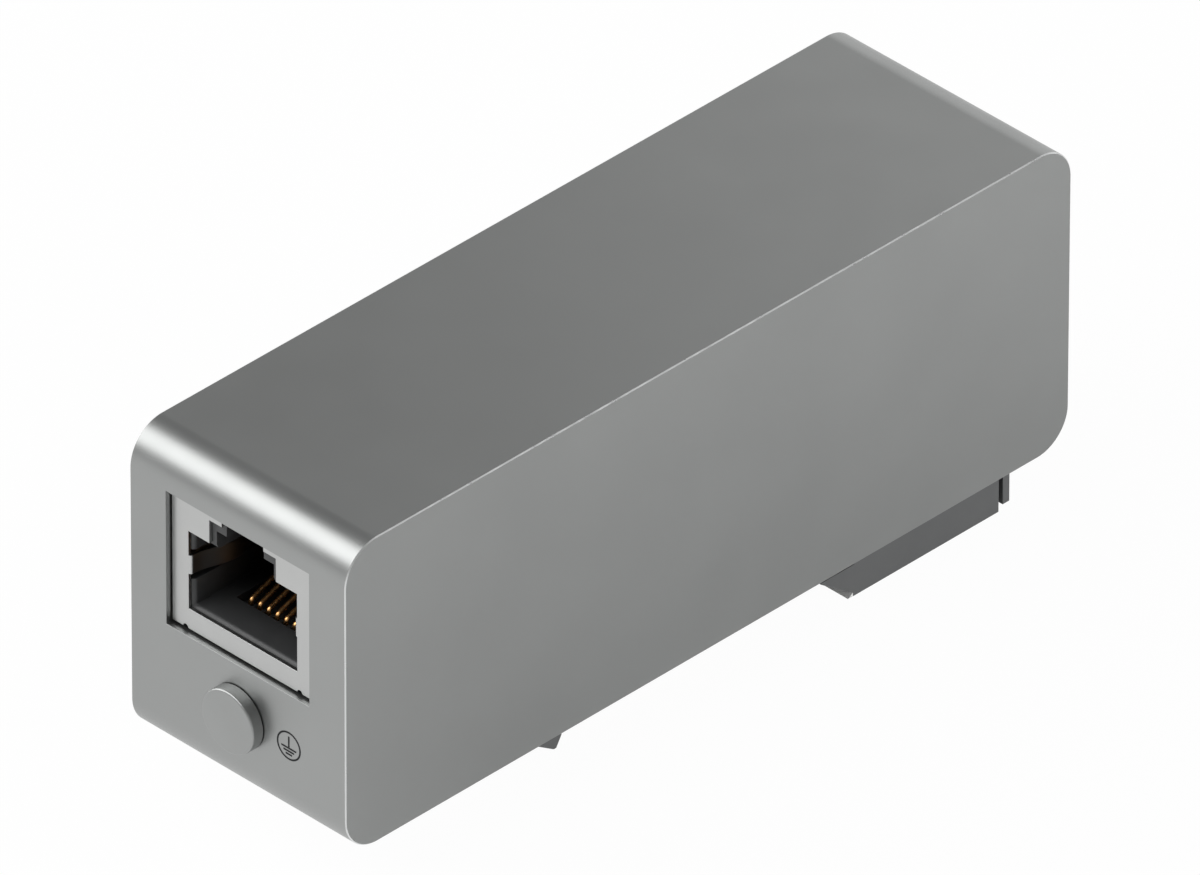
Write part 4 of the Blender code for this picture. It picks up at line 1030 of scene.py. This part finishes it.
class OBJECT_OT_surge_shields(PieceOperator, Operator):
    """Folds the plated sheet shield of each socket, with its keyed opening and its sprung side strips"""

    bl_idname = "object.surge_shields"
    bl_label = "Socket shields"

    def build(self, settings):
        for end, face in SOCKETS.items():
            shield = self.shield(settings, f"{end}_socket_shield")
            move(face @ forward(settings.socket), shield)
            place(shield, "case", "shield", f"{end}_jack_shield")

    def shield(self, settings, name):
        socket = settings.socket
        sheet = socket.sheet
        margin = GAP - socket.fit
        half = Vector((SHIELD_WIDTH / 2 + margin, 0, SHIELD_HEIGHT / 2 + margin))
        outline = rounded_rectangle((-half.x, -half.z), (half.x, half.z), socket.fold, RIM_STEPS)
        shield = prism(name, outline, 0, -SHIELD_LENGTH, FRONT_VIEW, rim=socket.rim, rim_steps=2)
        shield.data.materials.append(plated_sheet(settings))
        shield.data.materials.append(shaded_sprung_strip(settings))
        hollow = block(
            "hollow",
            (sheet - half.x, sheet, sheet - half.z),
            (half.x - sheet, SHIELD_LENGTH + OVERRUN, half.z - sheet),
        )
        cut(shield, hollow, self.opening(socket), tail_way(settings, -half.z - OVERRUN, sheet + GAP - half.z))
        cut(shield, *(self.notch(socket, side, half.z) for side in (-1, 1)))
        pegs = [self.peg(socket, side, half.x) for side in (-1, 1)]
        join(shield, *pegs, *(self.finger(socket, side) for side in (-1, 1)))
        return shade(shield)

    def opening(self, socket):
        """Cuts the keyed opening, with a rounded edge all round it."""
        radius = socket.edge
        bends = [math.radians(90 - 90 * step / EDGE_STEPS) for step in range(EDGE_STEPS + 1)]
        sections = [(-OVERRUN, keyed_opening(socket, -radius))]
        sections += [
            (radius * (1 - math.sin(bend)), keyed_opening(socket, -radius * (1 - math.cos(bend))))
            for bend in bends
        ]
        sections.append((2 * socket.sheet, keyed_opening(socket, 0)))
        return lofted("opening", sections)

    def notch(self, socket, side, drop):
        """Cuts a half round notch into the lower edge, where the sheet's seams are."""
        middle = (side * socket.notch_place, -drop)
        bar = upright(socket.notch_radius, (*middle, -socket.notch_depth), (*middle, OVERRUN), NOTCH_SIDES)
        move(Matrix.Rotation(math.pi / 2, 4, "X"), bar)
        return bar

    def peg(self, socket, side, reach):
        outer, inner = sorted((side * reach, side * (reach - socket.sheet)))
        end = socket.peg_start + socket.peg_width
        return block("peg", (outer, socket.peg_start, BOARD_LOW.z - SOCKET_Z - GAP), (inner, end, 0))

    def finger(self, socket, side):
        """A strip bent in from the side of the opening, which bulges into the socket and comes back."""
        edge, fold, middle = socket.half_width, socket.finger_fold, socket.sheet / 2
        path = [(edge + GAP, middle)] + arc((edge, middle + fold), fold, -90, -180, FOLD_STEPS)
        path += swing(path[-1], (edge - socket.finger_bulge, middle + socket.finger_length / 2))
        path += swing(path[-1], (edge, socket.finger_length))
        low = -socket.finger_drop - socket.finger_height / 2
        shape = bmesh.new()
        rows = [
            [shape.verts.new((side * x, y, z)) for z in (low, low + socket.finger_height)] for x, y in path
        ]
        for near, far in zip(rows, rows[1:]):
            face = shape.faces.new((near[0], far[0], far[1], near[1]))
            # Past the fold the strip takes the darker sheet, whose colour is painted shade
            face.material_index = int(far[0].co.y > middle + fold)
        strip = from_bmesh("finger", shape)
        thicken = strip.modifiers.new("sheet", "SOLIDIFY")
        thicken.thickness = socket.finger_sheet
        thicken.offset = 0
        return bake(strip)


def forward(socket):
    return Matrix.Translation((0, -socket.reach, socket.rise))


def tail_way(settings, low, high):
    """The passage that the wires' tails go down through."""
    well = half_row(settings.contact)
    depth = settings.moulding.depth
    return block("tail_way", (-well, depth - settings.moulding.tail_way, low), (well, depth, high))


def half_row(contact):
    """From the middle to the side of the well that the row of wires stands in."""
    return contact.number * contact.pitch / 2 + GAP


class OBJECT_OT_surge_mouldings(PieceOperator, Operator):
    """Moulds the black block inside each shield, with a sloping lip, a keyway and slots for the strips"""

    bl_idname = "object.surge_mouldings"
    bl_label = "Socket mouldings"

    def build(self, settings):
        for end, face in SOCKETS.items():
            moulding = self.moulding(settings, f"{end}_socket_block")
            move(face @ forward(settings.socket), moulding)
            moulding.data.materials.append(black_plastic(settings))
            place(moulding, "case", "insert", f"{end}_jack_insert")

    def moulding(self, settings, name):
        socket, moulding, contact = settings.socket, settings.moulding, settings.contact
        start = socket.sheet + moulding.gap
        half = (BLOCK_HIGH - BLOCK_LOW) / 2
        lip, depth = moulding.lip, moulding.depth
        floor, ceiling = lip - socket.floor, socket.top - moulding.ceiling_lip
        body = block(name, (-half.x, start, -half.z), (half.x, socket.sheet + GAP + 2 * half.y, half.z))
        well = half_row(contact)
        pit = floor - moulding.well_depth
        strip = -socket.finger_drop
        slot = socket.finger_height / 2
        cut(
            body,
            self.cavity(socket, moulding, start),
            self.way(
                "keyway",
                socket.keyway_half_width - moulding.keyway_step,
                moulding.keyway_depth,
                ceiling - GAP,
                moulding.keyway_rise,
            ),
            self.way(
                "catch",
                socket.catch_half_width - moulding.catch_step,
                moulding.keyway_depth,
                ceiling - GAP,
                half.z + OVERRUN,
            ),
            block("well", (-well, moulding.well_start, pit), (well, depth, floor + GAP)),
            tail_way(settings, -half.z - OVERRUN, floor),
            self.way(
                "strip_way",
                half.x + OVERRUN,
                socket.finger_length + 2 * GAP,
                strip - slot - moulding.room_below,
                strip + slot + moulding.room_above,
            ),
        )
        thick = moulding.comb / 2
        walls = []
        for index in range(1, contact.number):
            x = (index - contact.number / 2) * contact.pitch
            low = (x - thick, moulding.well_start - WELD, pit - WELD)
            high = (x + thick, moulding.well_start + moulding.comb_length, floor - moulding.comb_drop)
            walls.append(block(f"comb_{index}", low, high))
        join(body, *walls)
        return shade(body, moulding.edge)

    def way(self, name, reach, depth, low, high):
        return block(name, (-reach, 0, low), (reach, depth, high))

    def cavity(self, socket, moulding, start):
        """The space for the plug, whose mouth narrows over a slope and a round bend."""
        slope, bend, lip = moulding.lip_slope, moulding.lip_bend, moulding.lip
        ramp = lip - bend * (1 - math.cos(slope))
        bend_y = start + ramp / math.tan(slope) + bend * math.sin(slope)
        insets = [(start - GAP, 0), (start, 0)]
        for step in range(LIP_STEPS + 1):
            turn = slope * (1 - step / LIP_STEPS)
            insets.append((bend_y - bend * math.sin(turn), lip - bend * (1 - math.cos(turn))))
        insets.append((moulding.depth, lip))
        share = moulding.ceiling_lip / lip
        return lofted("cavity", [(y, self.mouth(socket, inset, inset * share)) for y, inset in insets])

    def mouth(self, socket, inset, drop):
        side = socket.half_width - inset
        return rectangle(-side, inset - socket.floor, side, socket.top - drop)


class OBJECT_OT_surge_contacts(PieceOperator, Operator):
    """Bends the gold-plated spring wires of both sockets"""

    bl_idname = "object.surge_contacts"
    bl_label = "Contacts"

    def build(self, settings):
        contact = settings.contact
        for end, face in SOCKETS.items():
            for index in range(contact.number):
                x = (index - (contact.number - 1) / 2) * contact.pitch
                wire = self.wire(settings, f"{end}_spring_wire_{index + 1}", x)
                move(face @ forward(settings.socket), wire)
                wire.data.materials.append(gold_plating(settings))
                place(wire, "case", "contacts", f"{end}_contact_{index + 1}")

    def wire(self, settings, name, x):
        """A wire that comes out of the floor in a tight bend, rises inwards and turns down to the board."""
        socket, moulding, contact = settings.socket, settings.moulding, settings.contact
        slope = math.degrees(contact.slope)
        front, rear = contact.front_bend, contact.rear_bend
        tip_z = moulding.lip - socket.floor - contact.tip_drop
        bend_z = tip_z - contact.radius
        path = [(contact.tip + contact.lean, bend_z - front)]
        path += arc((contact.tip + front, bend_z), front, 180, 90 + slope, FRONT_BEND_STEPS)
        crest_y = contact.tail_place - rear
        crest_z = tip_z + (crest_y - contact.tip) * math.tan(contact.slope)
        over = (crest_y, crest_z - rear / math.cos(contact.slope) + contact.rear_lift)
        path += arc(over, rear, 90 + slope, 0, REAR_BEND_STEPS)
        path.append((path[-1][0], BOARD_LOW.z - SOCKET_Z - contact.tail))
        return shade(round_wire(name, [(x, y, z) for y, z in path], contact.radius))


class OBJECT_OT_surge_clip(PieceOperator, Operator):
    """Finishes the rail clip and the latch that slides on it"""

    bl_idname = "object.surge_clip"
    bl_label = "Rail clip and latch"

    def build(self, settings):
        dress("clip_base", grey_plastic(settings), settings.clip.edge)
        dress("rail_latch", grey_plastic(settings), settings.clip.edge)


class OBJECT_OT_surge_spring(PieceOperator, Operator):
    """Winds the spring behind the latch, which is pressed flatter as the latch slides back"""

    bl_idname = "object.surge_spring"
    bl_label = "Latch spring"

    def build(self, settings):
        low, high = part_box("latch_spring")
        coil = self.coil(settings.spring, low, high)
        coil.data.materials.append(spring_steel(settings))
        place(coil, "case", "spring", "latch_spring")
        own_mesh(coil)

    def coil(self, spring, low, high):
        wire, turns, steps = spring.wire, spring.turns, spring.steps
        middle = (low + high) / 2
        radius = high.x - middle.x - wire
        closed = 2 * wire
        pitch = (high.y - low.y - 2 * wire - 2 * closed) / turns
        path = []
        for step in range((turns + 2) * steps + 1):
            turn = step / steps
            open_turns = min(max(turn - 1, 0), turns)
            risen = closed * (min(turn, 1) + max(turn - 1 - turns, 0)) + pitch * open_turns
            around = 2 * math.pi * turn
            x, z = middle.x + radius * math.cos(around), middle.z + radius * math.sin(around)
            path.append((x, low.y + wire + risen, z))
        return shade(round_wire("latch_coil", path, wire))


class OBJECT_OT_surge_screws(PieceOperator, Operator):
    """Finishes the screws of the cover, the clip and the circuit board"""

    bl_idname = "object.surge_screws"
    bl_label = "Screws"

    def build(self, settings):
        for names in SCREWS.values():
            for name in names:
                dress(name, zinc_steel(settings), settings.board.edge)


class OBJECT_OT_surge_board(PieceOperator, Operator):
    """Finishes the circuit board, what is soldered to it, and the ground bracket"""

    bl_idname = "object.surge_board"
    bl_label = "Circuit board"

    def build(self, settings):
        edge = settings.board.edge
        dress("circuit_board", solder_mask(settings), edge)
        dress("ground_bracket", tinned_sheet(settings), edge)
        for index in range(PAIRS):
            dress(f"gas_tube_{index + 1}", banded_ceramic(settings), edge)
            dress(f"tvs_array_{index + 1}", tinned_array(settings), edge)


class OBJECT_OT_surge_stage(PieceOperator, Operator):
    """Sets up the pale floor, the soft light and the camera"""

    bl_idname = "object.surge_stage"
    bl_label = "Floor, light and camera"

    def build(self, settings):
        stage = settings.stage
        self.floor(stage)
        self.sky(stage)
        self.lamp("key_light", stage.key_place, stage.key_width, stage.key_height, stage.key_power)
        self.lamp("side_light", stage.side_place, stage.side_size, stage.side_size, stage.side_power)
        self.lamp("rear_light", stage.rear_place, stage.rear_size, stage.rear_size, stage.rear_power)
        self.camera(stage)
        bpy.context.scene.view_settings.view_transform = "Standard"

    def floor(self, stage):
        """A pale floor at the feet, which can be seen through from below."""
        shape = bmesh.new()
        bmesh.ops.create_circle(shape, cap_ends=True, segments=FLOOR_SIDES, radius=stage.floor_radius)
        floor = from_bmesh("floor", shape)
        floor.location.z = FEET_Z - FLOOR_GAP
        finish = Finish("Pale floor", stage.floor_color, 0.0, 0.9).tint(0.4, 0.005)
        light = finish.node("ShaderNodeLightPath").outputs
        mirrored = finish.math("MAXIMUM", light["Is Glossy Ray"], light["Is Transmission Ray"])
        seen = finish.math("MULTIPLY", light["Is Camera Ray"], stage.floor_seen)
        ends = (CASE_HIGH.x, CASE_HIGH.x + stage.mirrored_reach)
        sideways = finish.part(finish.place, "X")
        fade = finish.ramp(sideways, ends, stage.mirrored_left, stage.mirrored_right, "SMOOTHSTEP")
        white = finish.math("ADD", seen, finish.math("MULTIPLY", mirrored, fade))
        glow = finish.node("ShaderNodeEmission").outputs[0]
        above = finish.mix_shaders(white, finish.shader.outputs[0], glow)
        from_below = finish.node("ShaderNodeNewGeometry").outputs["Backfacing"]
        clear = finish.node("ShaderNodeBsdfTransparent").outputs[0]
        surface = finish.tree.nodes["Material Output"].inputs["Surface"]
        finish.link(finish.mix_shaders(from_below, above, clear), surface)
        floor.data.materials.append(finish.material)

    def sky(self, stage):
        """Soft white light round the horizon, brighter behind and dimmer overhead, plain white where seen."""
        world = bpy.data.worlds.new("Studio")
        bpy.context.scene.world = world
        world.use_nodes = True
        sky = Nodes(world.node_tree)
        way = sky.node("ShaderNodeTexCoord").outputs["Generated"]
        horizon = sky.ramp(sky.part(way, "Y"), REARWARD_RANGE, stage.sky_front, stage.sky_rear)
        light = sky.ramp(sky.part(way, "Z"), UPWARD_RANGE, horizon, stage.sky_overhead, "SMOOTHSTEP")
        seen = sky.node("ShaderNodeLightPath").outputs["Is Camera Ray"]
        background = sky.tree.nodes["Background"]
        background.inputs["Color"].default_value = (1, 1, 1, 1)
        sky.link(sky.math("MAXIMUM", light, seen), background.inputs["Strength"])

    def lamp(self, name, spot, width, height, power):
        """A flat lamp at a spot measured from the case's middle, with its width level, turned to the case."""
        light = bpy.data.lights.new(name, "AREA")
        light.shape = "RECTANGLE"
        light.size = width
        light.size_y = height
        light.energy = power
        lamp = bpy.data.objects.new(name, light)
        bpy.context.scene.collection.objects.link(lamp)
        spot = Vector(spot)
        way = spot.normalized()
        level = (Vector((1, 0, 0)) - way * way.x).normalized()
        turn = Matrix((level, way.cross(level), way)).transposed().to_4x4()
        lamp.matrix_world = Matrix.Translation(Vector((0, MIDDLE_Y, SOCKET_Z)) + spot) @ turn

    def camera(self, stage):
        lens = bpy.data.cameras.new("camera")
        lens.lens = stage.lens / MM
        lens.sensor_width = 36
        lens.clip_start = 0.05
        lens.clip_end = 20
        camera = bpy.data.objects.new("camera", lens)
        bpy.context.scene.collection.objects.link(camera)
        level = Vector((math.cos(stage.azimuth), math.sin(stage.azimuth), 0))
        away = Vector((level.y, -level.x, 0))
        back = away * math.cos(stage.elevation) + Vector((0, 0, math.sin(stage.elevation)))
        steep = back.cross(level)
        right = level * math.cos(stage.roll) + steep * math.sin(stage.roll)
        up = steep * math.cos(stage.roll) - level * math.sin(stage.roll)
        turn = Matrix((right, up, back)).transposed().to_4x4()
        spot = Vector((0, MIDDLE_Y, BASE_Z)) + back * stage.distance + right * stage.across + up * stage.rise
        camera.matrix_world = Matrix.Translation(spot) @ turn
        bpy.context.scene.camera = camera


OPERATORS = (
    OBJECT_OT_surge_case,
    OBJECT_OT_surge_cover,
    OBJECT_OT_surge_knob,
    OBJECT_OT_surge_earth_mark,
    OBJECT_OT_surge_shields,
    OBJECT_OT_surge_mouldings,
    OBJECT_OT_surge_contacts,
    OBJECT_OT_surge_clip,
    OBJECT_OT_surge_spring,
    OBJECT_OT_surge_screws,
    OBJECT_OT_surge_board,
    OBJECT_OT_surge_stage,
)


class VIEW3D_PT_surge_protector(Panel):
    """Lists the pieces and their settings"""

    bl_label = "Surge Protector"
    bl_space_type = "VIEW_3D"
    bl_region_type = "UI"
    bl_category = "Surge Protector"

    def draw(self, context):
        settings = context.scene.surge_protector
        for operator in OPERATORS:
            self.layout.operator(operator.bl_idname)
        for name in ProtectorSettings.__annotations__:
            group = getattr(settings, name)
            box = self.layout.box()
            box.label(text=name.capitalize())
            for prop in group.__annotations__:
                box.prop(group, prop)


CLASSES = (
    CaseSettings,
    SocketSettings,
    MouldingSettings,
    ContactSettings,
    KnobSettings,
    MarkSettings,
    ClipSettings,
    SpringSettings,
    BoardSettings,
    StageSettings,
    ProtectorSettings,
    *OPERATORS,
    VIEW3D_PT_surge_protector,
)


def register():
    for cls in CLASSES:
        bpy.utils.register_class(cls)
    bpy.types.Scene.surge_protector = PointerProperty(type=ProtectorSettings)


def unregister():
    del bpy.types.Scene.surge_protector
    for cls in reversed(CLASSES):
        bpy.utils.unregister_class(cls)


def main():
    register()
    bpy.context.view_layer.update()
    for obj in [obj for obj in bpy.data.objects if obj.type in {"CAMERA", "LIGHT"}]:
        bpy.data.objects.remove(obj)
    bpy.ops.object.surge_case()
    bpy.ops.object.surge_cover()
    bpy.ops.object.surge_knob()
    bpy.ops.object.surge_earth_mark()
    bpy.ops.object.surge_shields()
    bpy.ops.object.surge_mouldings()
    bpy.ops.object.surge_contacts()
    bpy.ops.object.surge_clip()
    bpy.ops.object.surge_spring()
    bpy.ops.object.surge_screws()
    bpy.ops.object.surge_board()
    bpy.ops.object.surge_stage()


if __name__ == "__main__":
    main()
